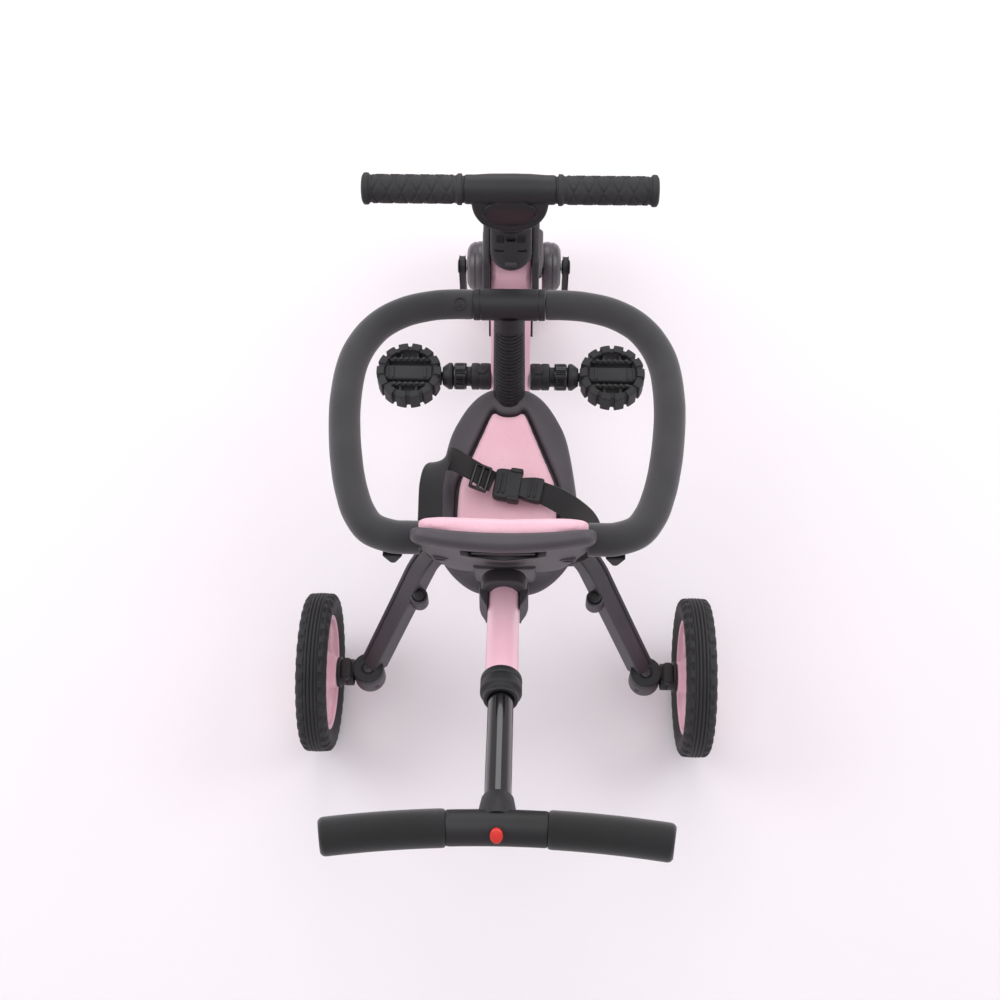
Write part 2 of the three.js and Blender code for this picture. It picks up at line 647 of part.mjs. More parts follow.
// ---------------------------------------------------------------- parked pedals
// Socket: a stepped barrel on the beam's side, with the spindle that the pedal turns on.
const SOCKET_START = BEAM_WIDTH / 2 + GAP;
const SOCKET_END = SOCKET_START + SOCKET_LENGTH;
const SLEEVE_START = SOCKET_START + 27;
const SLEEVE_LENGTH = 14;
const SLEEVE_SEAT = SOCKET_RADIUS - 4;
function pedalSocket() {
  const r = SOCKET_RADIUS;
  const profile = [
    [0, SOCKET_START], [r - 1, SOCKET_START], [r, SOCKET_START + 2], [r, SLEEVE_START - 5],
    [SLEEVE_SEAT, SLEEVE_START - 5], [SLEEVE_SEAT, SLEEVE_START + SLEEVE_LENGTH + 1],
    [r, SLEEVE_START + SLEEVE_LENGTH + 1], [r, SOCKET_END - 8], [r - 5, SOCKET_END],
    [SPINDLE_RADIUS, SOCKET_END], [SPINDLE_RADIUS, SOCKET_END + PEDAL_LENGTH - 6],
    [0, SOCKET_END + PEDAL_LENGTH - 6],
  ];
  return turned(profile, vector(1, 0, 0), vector(0, PEDAL_Y, PEDAL_Z), 20);
}

// Sleeve: a collar that is drawn back against a spring to free the pedal.
function socketSleeve() {
  const a = SLEEVE_START;
  const b = SLEEVE_START + SLEEVE_LENGTH;
  const inner = SLEEVE_SEAT + RUNNING;
  const profile = [
    [inner, a], [SOCKET_RADIUS - 1, a], [SOCKET_RADIUS, a + 1.5], [SOCKET_RADIUS, b - 1.5],
    [SOCKET_RADIUS - 1, b], [inner, b],
  ];
  return turned(profile, vector(1, 0, 0), vector(0, PEDAL_Y, PEDAL_Z), 20);
}

// Pedal: a round rim of tread blocks joined by a middle web that is bored for the spindle.
function pedal() {
  const start = SOCKET_END + 1;
  const end = start + PEDAL_LENGTH;
  const middle = (start + end) / 2;
  const rim = new THREE.Shape();
  rim.absellipse(middle, 0, PEDAL_LENGTH / 2, PEDAL_DEPTH / 2, 0, 2 * Math.PI, false);
  for (const side of [-1, 1]) {
    const hole = new THREE.Path();
    const y = side * PEDAL_DEPTH * 0.27;
    hole.absellipse(middle, y, PEDAL_LENGTH * 0.3, PEDAL_DEPTH * 0.1, 0, 2 * Math.PI, false);
    rim.holes.push(hole);
  }
  const low = -PEDAL_HEIGHT / 2;
  const body = slab(rim, low, -low, 2, 8).translate([0, PEDAL_Y, PEDAL_Z]);
  const bore = crossBar(
    start - 5, SOCKET_END + PEDAL_LENGTH - 4, PEDAL_Y, PEDAL_Z, SPINDLE_RADIUS + RUNNING);
  return cut(body, bore);
}

pair(tricycle, "pedal_socket", pedalSocket(), BLACK);
pair(tricycle, "socket_sleeve", socketSleeve(), BLACK);
pair(tricycle, "pedal", pedal(), RUBBER);

// ---------------------------------------------------------------- hub and seat
// Hub: takes the beam's tail, carries the arm hinges between two plates and the seat on top.
function hub() {
  const low = PIVOT_Z - EYE_HEIGHT / 2 - GAP;
  const high = PIVOT_Z + EYE_HEIGHT / 2 + GAP;
  const thickness = 7;
  const plate = new THREE.Shape();
  plate.absarc(PIVOT_X, PIVOT_Y, EYE_RADIUS, -Math.PI / 4, Math.PI / 2, false);
  plate.lineTo(30, 165);
  plate.lineTo(-30, 165);
  plate.absarc(-PIVOT_X, PIVOT_Y, EYE_RADIUS, Math.PI / 2, 1.25 * Math.PI, false);
  plate.lineTo(-26, 42);
  plate.lineTo(26, 42);
  const upper = slab(plate, high, high + thickness);
  const swingRoom = box(vector(-90, 0, 0), vector(90, PIVOT_Y - 14, low));
  const lower = cut(slab(plate, low - thickness, low), swingRoom);
  const core = box(vector(-27, 50, low - thickness), vector(27, 168, high + thickness));
  const pocket = box(
    vector(-BEAM_WIDTH / 2 - GAP, 138, low - 1), vector(BEAM_WIDTH / 2 + GAP, 200, high));
  const tail = cheek(band(beamLine, BEAM_DEPTH + 2 * GAP, 0.8, 1, 4),
    -BEAM_WIDTH / 2 - GAP, BEAM_WIDTH / 2 + GAP);
  const bolt = (x) =>
    bar(vector(x, PIVOT_Y, low - 1), vector(x, PIVOT_Y, high + 1), PIVOT_RADIUS);
  return cut(join(upper, lower, core, bolt(PIVOT_X), bolt(-PIVOT_X)), pocket, tail);
}
const HUB_TOP = PIVOT_Z + EYE_HEIGHT / 2 + GAP + 7;

// Seat base: a round housing between the hub and the seat, with a ribbed rim.
function seatBase() {
  const top = SEAT_LOW - GAP;
  const bottom = HUB_TOP + GAP;
  const r = BASE_RADIUS;
  const profile = [
    [0, bottom], [r - 8, bottom], [r, bottom + 8], [r, top - 12], [r - 4, top - 6], [r - 4, top],
    [0, top],
  ];
  return turned(profile, vector(0, 0, 1), vector(0, BASE_Y, 0), 28);
}

// Plan outlines, from the nose round to the rear.
const seatPlan = [
  [0, 238], [27, 233], [50, 212], [62, 179], [69, 127],
  [72, 90], [68, 50], [50, 26], [22, 6], [0, 4],
];
const cushionPlan = [
  [0, 205], [17, 211], [24, 196], [40, 158], [52, 127],
  [53.5, 105], [52, 70], [40, 44], [0, 40],
];

function seatShell() {
  const top = SEAT_LOW + SEAT_HEIGHT;
  const outer = slab(symmetricOutline(seatPlan, 20), SEAT_LOW, top, 7);
  const recess = symmetricOutline(cushionPlan.map(([x, y]) => [x * 1.03, 125 + (y - 125) * 1.02]), 20);
  const floor = top - CUSHION_HEIGHT + CUSHION_PROUD - GAP;
  return cut(outer, slab(recess, floor, top + 20), crotchPost(0.6));
}

function seatCushion() {
  const top = SEAT_LOW + SEAT_HEIGHT + CUSHION_PROUD;
  return cut(
    slab(symmetricOutline(cushionPlan, 20), top - CUSHION_HEIGHT, top, 4), crotchPost(1.5));
}

// Crotch post: a tapered ribbed sleeve that leans forward from the seat's nose to the ring.
const POST_FOOT = vector(0, 221, 312);
function crotchPost(clearance) {
  const run = ringFront.clone().sub(POST_FOOT).normalize();
  const foot = POST_FOOT.clone().addScaledVector(run, -clearance);
  return bar(foot, ringFront, 17.5 + clearance, 16 + clearance, 28);
}

// ---------------------------------------------------------------- guard ring
// In this group the ring lies in the plane z = 0, with y running forward from its rear bar.
const ring = new THREE.Group();
ring.position.set(0, 0, RING_REAR_Z);
ring.rotation.x = -degrees(RING_DROP);
tricycle.add(ring);
const ringFront = vector(
  0,
  RING_LENGTH * Math.cos(degrees(RING_DROP)),
  RING_REAR_Z - RING_LENGTH * Math.sin(degrees(RING_DROP)),
);

// Half of the ring's centre line, from the backrest's side round to the front sleeve.
const STUB_END = BACK_TOP_WIDTH / 2 + 0.8;
const RING_LINE = [
  [STUB_END, 0], [100, 1], [119, 9], [131, 26], [138.5, 46], [145, 72], [151, 110], [154.4, 155],
  [152, 200], [143, 231], [127, 256], [104, 273], [78, 281.5], [56, RING_LENGTH],
  [RING_SLEEVE / 2 + GAP, RING_LENGTH],
];
function ringHalf() {
  const line = new THREE.CatmullRomCurve3(RING_LINE.map(([x, y]) => vector(x, y, 0)));
  return swept(line, RING_RADIUS, 30, 7);
}

function ringSleeve() {
  const half = RING_SLEEVE / 2;
  return crossBar(-half, half, RING_LENGTH, 0, RING_RADIUS + 0.8, 28);
}

// Release tab: a small three-cornered lever under the ring's rear bar.
function ringTab() {
  const tab = new THREE.Shape([
    new THREE.Vector2(-9, 0), new THREE.Vector2(9, 0), new THREE.Vector2(2, -12),
    new THREE.Vector2(-2, -12),
  ]);
  return panel(tab, -4, 4, 1).translate([STUB_END + 20, -6, -RING_RADIUS - GAP]);
}

pair(ring, "ring_foam", ringHalf(), FOAM);
piece(ring, "ring_sleeve", ringSleeve(), BLACK);
pair(ring, "ring_tab", ringTab(), BLACK);
piece(tricycle, "hub", hub(), GREY);
piece(tricycle, "seat_base", seatBase(), GREY);
piece(tricycle, "seat_shell", seatShell(), GREY);
piece(tricycle, "seat_cushion", seatCushion(), PINK);
const sleeveRoom = crossBar(-40, 40, ringFront.y, ringFront.z, RING_RADIUS + 0.8 + GAP, 28);
piece(tricycle, "crotch_post", cut(crotchPost(0), sleeveRoom), BLACK);

// ---------------------------------------------------------------- backrest
// In this group the backrest stands upright: x across, y forward, z up from its lower edge.
const backrest = new THREE.Group();
backrest.position.set(0, BACK_Y, BACK_Z);
backrest.rotation.x = degrees(BACK_TILT);
tricycle.add(backrest);

// Front view: narrow and rounded below, widening to the top roll.
function backOutline(inset) {
  const top = BACK_TOP_WIDTH / 2 - inset;
  const bottom = BACK_BOTTOM_WIDTH / 2 - inset;
  const high = BACK_HEIGHT - inset;
  const shape = new THREE.Shape();
  shape.moveTo(bottom - 14, inset);
  shape.quadraticCurveTo(bottom, inset, bottom + 3, inset + 16);
  shape.lineTo(top, BACK_HEIGHT * 0.6);
  shape.quadraticCurveTo(top + 3, high, top - 16, high);
  shape.lineTo(-top + 16, high);
  shape.quadraticCurveTo(-top - 3, high, -top, BACK_HEIGHT * 0.6);
  shape.lineTo(-bottom - 3, inset + 16);
  shape.quadraticCurveTo(-bottom, inset, -bottom + 14, inset);
  return shape;
}

// Plan view: a dished back behind a pad whose front is nearly flat.
function dish(frontY, rearY, hollow) {
  const w = BACK_TOP_WIDTH / 2 + 5;
  const shape = new THREE.Shape();
  shape.moveTo(w, frontY + hollow);
  shape.quadraticCurveTo(0, frontY - hollow, -w, frontY + hollow);
  shape.lineTo(-w, rearY + PAD_DEPTH * 0.8);
  shape.quadraticCurveTo(0, rearY - PAD_DEPTH * 0.8, w, rearY + PAD_DEPTH * 0.8);
  return shape;
}
function backShell() {
  const body = slab(dish(-2, -16, 6), -2, BACK_HEIGHT + 2, 0, 10);
  const spine = box(vector(-30, -15, -70), vector(30, -3, 40));
  const seatTop = SEAT_LOW + SEAT_HEIGHT + GAP;
  const below = moved(box(vector(-90, -90, 200), vector(90, 90, seatTop)), tricycle, backrest);
  return cut(join(body.intersect(panel(backOutline(0), -40, 40)), spine), below);
}
function backPad() {
  const shape = new THREE.Shape();
  const w = BACK_TOP_WIDTH / 2 + 5;
  shape.moveTo(w, PAD_DEPTH - 2);
  shape.lineTo(-w, PAD_DEPTH - 2);
  shape.lineTo(-w, 4 + GAP);
  shape.quadraticCurveTo(0, -8 + GAP, w, 4 + GAP);
  return slab(shape, 0, BACK_HEIGHT, 0, 10).intersect(panel(backOutline(5), -40, 40));
}
piece(backrest, "back_shell", backShell(), GREY);
piece(backrest, "back_pad", backPad(), PINK);

// ---------------------------------------------------------------- belt
const BELT_WIDTH = 24;
const BELT_THICKNESS = 2.4;
const beltLeft = [
  [vector(-71.4, 8, 398), vector(1, 0, 0)],
  [vector(-71.4, 34, 399), vector(1, 0, 0)],
  [vector(-72, 62, 403), vector(1, 0, 0)],
  [vector(-72, 92, 401), vector(1, 0.1, 0)],
  [vector(-68, 116, 392), vector(1, 0.5, -0.1)],
  [vector(-56, 129, 380), vector(0.7, 1, -0.2)],
  [vector(-37, 126, 364), vector(0.2, 1, -0.1)],
  [vector(-14, 116, 355), vector(0, 1, 0)],
];
const beltRight = [
  [vector(32.7, 107, 353), vector(0, 1, 0)],
  [vector(48, 99, 354), vector(0.1, 1, 0.1)],
  [vector(65, 84, 362), vector(0.4, 1, 0.3)],
  [vector(79, 62, 378), vector(0.8, 1, 0.6)],
  [vector(82, 38, 392), vector(1, 0.3, 0.3)],
  [vector(71.6, 10, 398), vector(1, 0, 0)],
];
piece(tricycle, "belt_left", webbing(beltLeft, BELT_WIDTH, BELT_THICKNESS), WEBBING);
piece(tricycle, "belt_right", webbing(beltRight, BELT_WIDTH, BELT_THICKNESS), WEBBING);

// Buckle: a flat body that the two-pronged tongue clicks into.
function buckleBody() {
  const shape = roundedRectangle(28, 34, 4, 1, 112);
  return slab(shape, 349, 360, 2, 2);
}
function buckleTongue() {
  const shape = roundedRectangle(17, 27, 3, 23.8, 108);
  return slab(shape, 350, 358, 1.5, 2);
}
piece(tricycle, "buckle_body", buckleBody(), BLACK);
piece(tricycle, "buckle_tongue", buckleTongue(), BLACK);

// ---------------------------------------------------------------- push handle
// In this group +Z runs back and up along the handle, and y points up from it.
const handle = new THREE.Group();
handle.position.set(0, HANDLE_Y, HANDLE_Z);
handle.rotation.x = Math.PI / 2 - degrees(HANDLE_RISE);
tricycle.add(handle);

// Bracket: a collar round the tube's foot with a plate that screws to the backrest.
function handleBracket() {
  const body = slab(roundedRectangle(44, 40, 14, 0, 0), -34, 12, 2, 4);
  const room = bar(vector(0, 0, 4), vector(0, 0, 60), OUTER_TUBE + GAP);
  const shell = box(vector(-90, -16 - GAP, -90), vector(90, 90, 200));
  return cut(body, room, moved(shell, backrest, handle));
}
const SLIDE = 68; // how far the inner tube runs in
const INNER_LOW = OUTER_TUBE_LENGTH - 14; // its lower end, drawn out
function outerTube() {
  const tube = bar(vector(0, 0, 4 + GAP), vector(0, 0, 4 + OUTER_TUBE_LENGTH), OUTER_TUBE);
  const floor = INNER_LOW - SLIDE - 2;
  return cut(tube, bar(vector(0, 0, floor), vector(0, 0, 200), INNER_TUBE + RUNNING));
}
const COLLAR_LOW = 4 + OUTER_TUBE_LENGTH - 14;
const COLLAR_HIGH = 4 + OUTER_TUBE_LENGTH + 12;
function handleCollar() {
  const profile = [
    [OUTER_TUBE + GAP, COLLAR_LOW], [OUTER_TUBE + 3.5, COLLAR_LOW], [OUTER_TUBE + 3.5, COLLAR_HIGH - 8],
    [OUTER_TUBE + 0.5, COLLAR_HIGH - 6], [OUTER_TUBE + 0.5, COLLAR_HIGH],
    [INNER_TUBE + RUNNING, COLLAR_HIGH], [INNER_TUBE + RUNNING, COLLAR_HIGH - 12 + GAP],
    [OUTER_TUBE + GAP, COLLAR_HIGH - 12 + GAP],
  ];
  return turned(profile, vector(0, 0, 1), vector(0, 0, 0), 20);
}
function innerTube() {
  const tube = bar(vector(0, 0, INNER_LOW), vector(0, 0, HANDLE_LENGTH - PUSH_RADIUS - 1), INNER_TUBE);
  return cut(tube, snapClip(GAP));
}
// Snap clip: a spring with a button at each end, through both walls of the inner tube, drawn
// pressed flush so that the tube can slide.
function snapClip(clearance) {
  const reach = INNER_TUBE - 0.5 + clearance;
  return crossBar(-reach, reach, 0, COLLAR_HIGH + 8, 3 + clearance, 12);
}
// The push bar's centre line sweeps back towards its ends.
function pushLine(half, from = -half) {
  const points = [];
  for (let i = 0; i <= 8; i++) {
    const x = from + ((half - from) * i) / 8;
    points.push(vector(x, 0, HANDLE_LENGTH + PUSH_SWEEP * (x / (PUSH_WIDTH / 2)) ** 2));
  }
  return new THREE.CatmullRomCurve3(points);
}
function pushBar() {
  const half = PUSH_WIDTH / 2;
  const core = swept(pushLine(PUSH_CORE / 2), PUSH_RADIUS - 1, 8, 8);
  const rod = swept(pushLine(half - 8), 9, 12, 6);
  const foot = vector(0, 0, HANDLE_LENGTH - PUSH_RADIUS - 12);
  const boss = bar(foot, vector(0, 0, HANDLE_LENGTH), INNER_TUBE + 2, PUSH_RADIUS + 1);
  const tubeRoom = bar(
    vector(0, 0, 200), vector(0, 0, HANDLE_LENGTH - PUSH_RADIUS - 1 + GAP), INNER_TUBE + GAP);
  return cut(join(core, rod, boss), tubeRoom, redButton(GAP, 3));
}
function pushGrip() {
  const half = PUSH_WIDTH / 2;
  const outer = swept(pushLine(half, PUSH_CORE / 2 + GAP), PUSH_RADIUS, 8, 8);
  const room = swept(pushLine(half - 8 + GAP, PUSH_CORE / 2 - 6), 9 + GAP, 8, 6);
  return cut(outer, room);
}
// Red button: an oval plunger in the middle of the push bar, turned from the handle's upper side
// towards the person pushing.
const RED_TURN = 61;
function redButton(clearance, room = 0) {
  const oval = new THREE.Shape();
  oval.absellipse(0, 0, 5 + clearance, 6 + clearance, 0, 2 * Math.PI, false);
  const plug = extruded(oval, -room, 12, 0, 8).rotateX(-Math.PI / 2);
  plug.translate(0, PUSH_RADIUS - 9, 0).rotateX((RED_TURN * Math.PI) / 180);
  return solid(plug.translate(0, 0, HANDLE_LENGTH));
}
piece(handle, "handle_bracket", handleBracket(), GREY);
piece(handle, "handle_outer_tube", outerTube(), PINK);
piece(handle, "handle_collar", handleCollar(), BLACK);
piece(handle, "handle_inner_tube", innerTube(), BLACK);
piece(handle, "snap_clip", snapClip(0), BLACK);
piece(handle, "push_bar", pushBar(), BLACK);
pair(handle, "push_grip", pushGrip(), FOAM);
piece(handle, "red_button", redButton(0), RED);

// ---------------------------------------------------------------- placing
// The whole model stands on the ground with the middle of its footprint at the origin.
tricycle.updateMatrixWorld(true);
const extent = new THREE.Box3().setFromObject(tricycle, true);
tricycle.position.set(0, -(extent.min.y + extent.max.y) / 2, -extent.min.z);

export default tricycle;
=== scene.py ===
import math

import bpy
import numpy as np
from mathutils import Matrix, Vector


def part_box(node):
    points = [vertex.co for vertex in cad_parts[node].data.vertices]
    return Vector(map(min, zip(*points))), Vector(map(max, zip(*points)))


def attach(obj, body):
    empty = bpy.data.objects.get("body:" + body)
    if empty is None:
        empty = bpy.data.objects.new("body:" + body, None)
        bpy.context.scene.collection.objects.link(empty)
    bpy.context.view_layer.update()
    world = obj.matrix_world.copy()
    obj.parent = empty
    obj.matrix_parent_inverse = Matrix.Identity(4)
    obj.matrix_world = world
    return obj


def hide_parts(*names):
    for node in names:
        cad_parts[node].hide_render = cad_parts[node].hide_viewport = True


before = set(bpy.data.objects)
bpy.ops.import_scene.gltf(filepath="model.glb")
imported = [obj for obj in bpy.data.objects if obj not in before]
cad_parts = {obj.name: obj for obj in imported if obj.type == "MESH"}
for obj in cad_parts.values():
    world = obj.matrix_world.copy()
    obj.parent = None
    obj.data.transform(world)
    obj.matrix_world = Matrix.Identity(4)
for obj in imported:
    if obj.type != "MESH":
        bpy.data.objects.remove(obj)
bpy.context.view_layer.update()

# ------------------------------------------------------------------ room
# A pale seamless floor under broad, soft studio light from above and both sides. The camera stands
# behind and above the push handle, looking down at about 65 degrees through a 50 mm lens, turned a
# little to one side and leaning a little.
axle_low, axle_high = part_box("rear_disc_right")
AXLE_Y = (axle_low.y + axle_high.y) / 2
CAMERA_PLACE = (0.0189, AXLE_Y - 0.494, 1.621)
CAMERA_RIGHT = (1.0, 0.0196, -0.0111)
CAMERA_DOWN = 65.0


def look(place, right, down):
    """A camera's matrix: its x axis lies along right, and it looks forward and down by that many degrees."""
    x = np.array(right) / np.linalg.norm(right)
    ahead = np.array([0, math.cos(math.radians(down)), -math.sin(math.radians(down))])
    ahead -= x * (ahead @ x)
    ahead /= np.linalg.norm(ahead)
    matrix = np.eye(4)
    matrix[:3] = np.stack([x, np.cross(x, ahead), -ahead, place], 1)
    return Matrix(matrix.tolist())


camera_data = bpy.data.cameras.new("camera")
camera_data.lens = 50.4
camera_data.sensor_width = 36
camera = bpy.data.objects.new("camera", camera_data)
bpy.context.scene.collection.objects.link(camera)
camera.matrix_world = look(CAMERA_PLACE, CAMERA_RIGHT, CAMERA_DOWN)
bpy.context.scene.camera = camera

floor_mesh = bpy.data.meshes.new("floor")
floor_mesh.from_pydata([(-9, -9, 0), (9, -9, 0), (9, 9, 0), (-9, 9, 0)], [], [(0, 1, 2, 3)])
floor = bpy.data.objects.new("floor", floor_mesh)
bpy.context.scene.collection.objects.link(floor)
floor_paint = bpy.data.materials.new("floor_paint")
floor_paint.use_nodes = True
paper = floor_paint.node_tree.nodes["Principled BSDF"]
paper.inputs["Base Color"].default_value = (0.86, 0.82, 0.85, 1)
paper.inputs["Roughness"].default_value = 0.7
floor_mesh.materials.append(floor_paint)

SOFTBOXES = (
    ("softbox_left", (-1.7, 0.3, 1.7), (0, 0, 0.2), 1.4, 18.5),
    ("softbox_right", (1.7, 0.4, 1.7), (0, 0, 0.2), 1.4, 17),
    ("softbox_ahead", (0, 2.1, 1.6), (0, 0.1, 0.2), 1.6, 16.5),
    ("softbox_top", (0, -0.3, 2.9), (0, 0, 0), 2.0, 15),
)
for name, place, target, size, power in SOFTBOXES:
    lamp_data = bpy.data.lights.new(name, "AREA")
    lamp_data.shape = "SQUARE"
    lamp_data.size = size
    lamp_data.energy = power
    lamp = bpy.data.objects.new(name, lamp_data)
    bpy.context.scene.collection.objects.link(lamp)
    lamp.location = place
    aim = Vector(target) - Vector(place)
    lamp.rotation_euler = aim.to_track_quat("-Z", "Y").to_euler()
world = bpy.data.worlds.new("studio")
bpy.context.scene.world = world
world.use_nodes = True
world.node_tree.nodes["Background"].inputs["Color"].default_value = (0.97, 0.94, 0.98, 1)
world.node_tree.nodes["Background"].inputs["Strength"].default_value = 0.62
bpy.context.scene.view_settings.view_transform = "Standard"


# ------------------------------------------------------------------ wheels
# Rear and front wheels. Solid rubber tyres with three grooves round the crown and a row of notched
# blocks on each shoulder, on pink moulded discs with six raised spokes. Each is one profile turned
# round the axle, with its tread and spokes worked into the radius.
def tint(code):
    """A colour written as six hex digits, as linear red, green, blue and a full alpha."""
    parts = np.array([int(code[i : i + 2], 16) / 255 for i in (0, 2, 4)])
    linear = np.where(parts < 0.04045, parts / 12.92, ((parts + 0.055) / 1.055) ** 2.4)
    return (*linear.tolist(), 1.0)


def wired(tree, kind, inputs, **settings):
    """A shader node. Each of its inputs is given a value, or the socket that feeds it."""
    node = tree.nodes.new("ShaderNode" + kind)
    for key, value in settings.items():
        setattr(node, key, value)
    for key, value in inputs.items():
        if isinstance(value, bpy.types.NodeSocket):
            tree.links.new(value, node.inputs[key])
        else:
            node.inputs[key].default_value = value
    return node


def grain_group():
    """Node group fine_grain. Height adds two sizes of noise, the smaller at half strength. Patches is
    a broad soft noise. Both lie between 0 and 1 and read Object coordinates."""
    group = bpy.data.node_groups.new("fine_grain", "ShaderNodeTree")
    for socket, way in (("Scale", "INPUT"), ("Patch Scale", "INPUT"), ("Height", "OUTPUT"),
        ("Patches", "OUTPUT")):
        group.interface.new_socket(name=socket, in_out=way, socket_type="NodeSocketFloat")
    given, result = group.nodes.new("NodeGroupInput"), group.nodes.new("NodeGroupOutput")
    where = wired(group, "TexCoord", {}).outputs["Object"]
    finer = wired(group, "Math", {0: given.outputs["Scale"], 1: 2.7}, operation="MULTIPLY").outputs[0]
    coarse, fine, broad = (wired(group, "TexNoise", {"Vector": where, "Scale": scale,
        "Detail": 2}).outputs["Fac"] for scale in (given.outputs["Scale"], finer, given.outputs["Patch Scale"]))
    total = wired(group, "Math", {0: fine, 1: 0.5, 2: coarse}, operation="MULTIPLY_ADD")
    group.links.new(total.outputs[0], result.inputs["Height"])
    group.links.new(broad, result.inputs["Patches"])
    return group


FINE_GRAIN = grain_group()


def moulded(name, light, dark, roughness, grain=900, depth=0.00006, patch=16, **sockets):
    """A moulded or painted surface. Its colour runs from dark to light with the broad noise, its
    roughness runs by 0.07 either side of the middle value, and the fine grain is a bump in metres."""
    material = bpy.data.materials.new(name)
    material.use_nodes = True
    tree = material.node_tree
    shader = tree.nodes["Principled BSDF"]
    noise = wired(tree, "Group", {}, node_tree=FINE_GRAIN)
    noise.inputs["Scale"].default_value, noise.inputs["Patch Scale"].default_value = grain, patch
    height = noise.outputs["Height"]
    ramp = wired(tree, "ValToRGB", {"Fac": noise.outputs["Patches"]})
    for element, position, code in zip(ramp.color_ramp.elements, (0.32, 0.68), (dark, light)):
        element.position, element.color = position, tint(code)
    spread = wired(tree, "MapRange", {"Value": height, "To Min": roughness - 0.07, "To Max": roughness + 0.07})
    bump = wired(tree, "Bump", {"Height": height, "Distance": depth})
    tree.links.new(ramp.outputs["Color"], shader.inputs["Base Color"])
    tree.links.new(spread.outputs["Result"], shader.inputs["Roughness"])
    tree.links.new(bump.outputs["Normal"], shader.inputs["Normal"])
    for socket, value in sockets.items():
        shader.inputs[socket.replace("_", " ")].default_value = value
    return material


def paint_shade(material, level):
    """The base colour of a moulded material is multiplied by a level from another texture, which paints shade
    into its hollows.
    """
    tree = material.node_tree
    tone = wired(tree, "Mix", {}, data_type="RGBA", blend_type="MULTIPLY")
    tone.inputs["Factor"].default_value = 1
    tree.links.new(tree.nodes["Color Ramp"].outputs["Color"], tone.inputs["A"])
    tree.links.new(level, tone.inputs["B"])
    tree.links.new(tone.outputs["Result"], tree.nodes["Principled BSDF"].inputs["Base Color"])


TYRE = moulded("tyre", "2b2a2c", "1f1e20", 0.66, grain=520, depth=0.0001)
PINK_PLASTIC = moulded("pink_plastic", "f2c3d0", "edbac9", 0.36, grain=1400, depth=0.00003)
STEEL = moulded("steel", "c2c3c6", "a4a5a9", 0.27, grain=700, depth=0.00002, Metallic=0.95)


def outward(points, faces):
    """A closed shape with its faces turned outwards. They are turned over if its volume, the sum of
    the tetrahedra from the origin to every face, is below zero."""
    volume = 0.0
    for f in faces:
        corners = [points[f[:, k]] for k in range(f.shape[1])]
        for b, c in zip(corners[1:], corners[2:]):
            volume += np.einsum("ij,ij->", corners[0], np.cross(b, c))
    return points, [f if volume > 0 else f[:, ::-1] for f in faces]


def skin(rows, loop=False):
    """A closed surface over rows of points. Quads join each row to the next and each row's last
    point to its first. With loop the last row joins the first. Otherwise both ends close in a fan
    of triangles to the row's middle."""
    count, around = rows.shape[:2]
    index = np.arange(count * around).reshape(count, around)
    index = np.concatenate([index, index[:, :1]], 1)
    if loop:
        index = np.concatenate([index, index[:1]], 0)
    quads = np.stack([index[:-1, :-1], index[:-1, 1:], index[1:, 1:], index[1:, :-1]], -1)
    points, faces = rows.reshape(-1, 3), [quads.reshape(-1, 4)]
    if not loop:
        hub = np.full(around, count * around)
        points = np.concatenate([points, rows[:1].mean(1), rows[-1:].mean(1)])
        faces.append(np.stack([index[0, 1:], index[0, :-1], hub], -1))
        faces.append(np.stack([index[-1, :-1], index[-1, 1:], hub + 1], -1))
    return outward(points, faces)


def softened(points, radius, steps=4, closed=False):
    """A line of points with its corners rounded. Each corner gives way to a quadratic curve that
    starts and ends a radius away from it, or at half the shorter side."""
    points = np.asarray(points, float)
    before, after = np.roll(points, 1, 0), np.roll(points, -1, 0)
    back, on = before - points, after - points
    reach_back = np.linalg.norm(back, axis=1, keepdims=True) + 1e-9
    reach_on = np.linalg.norm(on, axis=1, keepdims=True) + 1e-9
    take = np.minimum(radius, np.minimum(reach_back, reach_on) / 2)
    t = np.linspace(0, 1, steps + 1)[None, :, None]
    start, end = points + back / reach_back * take, points + on / reach_on * take
    curve = (1 - t) ** 2 * start[:, None] + 2 * t * (1 - t) * points[:, None] + t**2 * end[:, None]
    if closed:
        return curve.reshape(-1, points.shape[1])
    return np.concatenate([points[:1], curve[1:-1].reshape(-1, points.shape[1]), points[-1:]])


def evenly(points, count, closed=False):
    """count points at equal distances along a line of points."""
    points = np.asarray(points, float)
    if closed:
        points = np.concatenate([points, points[:1]])
    gone = np.concatenate([[0], np.cumsum(np.linalg.norm(np.diff(points, axis=0), axis=1))])
    at = np.linspace(0, gone[-1], count, endpoint=not closed)
    return np.stack([np.interp(at, gone, axis) for axis in points.T], -1)


AXES = {"x": [2, 0, 1], "y": [1, 2, 0], "z": [0, 1, 2]}


def outline(points, radius, count, steps=4):
    """A closed line with its corners rounded, as count points at equal distances."""
    return evenly(softened(points, radius, steps, closed=True), count, closed=True)


def full_turn(count):
    """count equal steps of angle round a circle."""
    return np.linspace(0, 2 * np.pi, count, endpoint=False)


def turned(profile, axis, centre=(0, 0, 0), sides=72, loop=False, relief=None):
    """A profile of (radius, distance) pairs turned round an axis through centre. relief(angle,
    distance, radius) is added to the radius."""
    profile = np.asarray(profile, float)
    angle = full_turn(sides)[None]
    distance = profile[:, 1:] + 0 * angle
    radius = profile[:, :1] + 0 * angle
    if relief is not None:
        radius = radius + relief(angle, distance, radius)
    rows = np.stack([radius * np.cos(angle), radius * np.sin(angle), distance], -1)
    return skin(rows[..., AXES[axis]] + np.array(centre, float), loop)


def hoop(profile, radius, axis, centre=(0, 0, 0), sides=72, steps=4):
    """A closed profile with its corners rounded, turned round an axis."""
    return turned(softened(profile, radius, steps, closed=True), axis, centre, sides, loop=True)


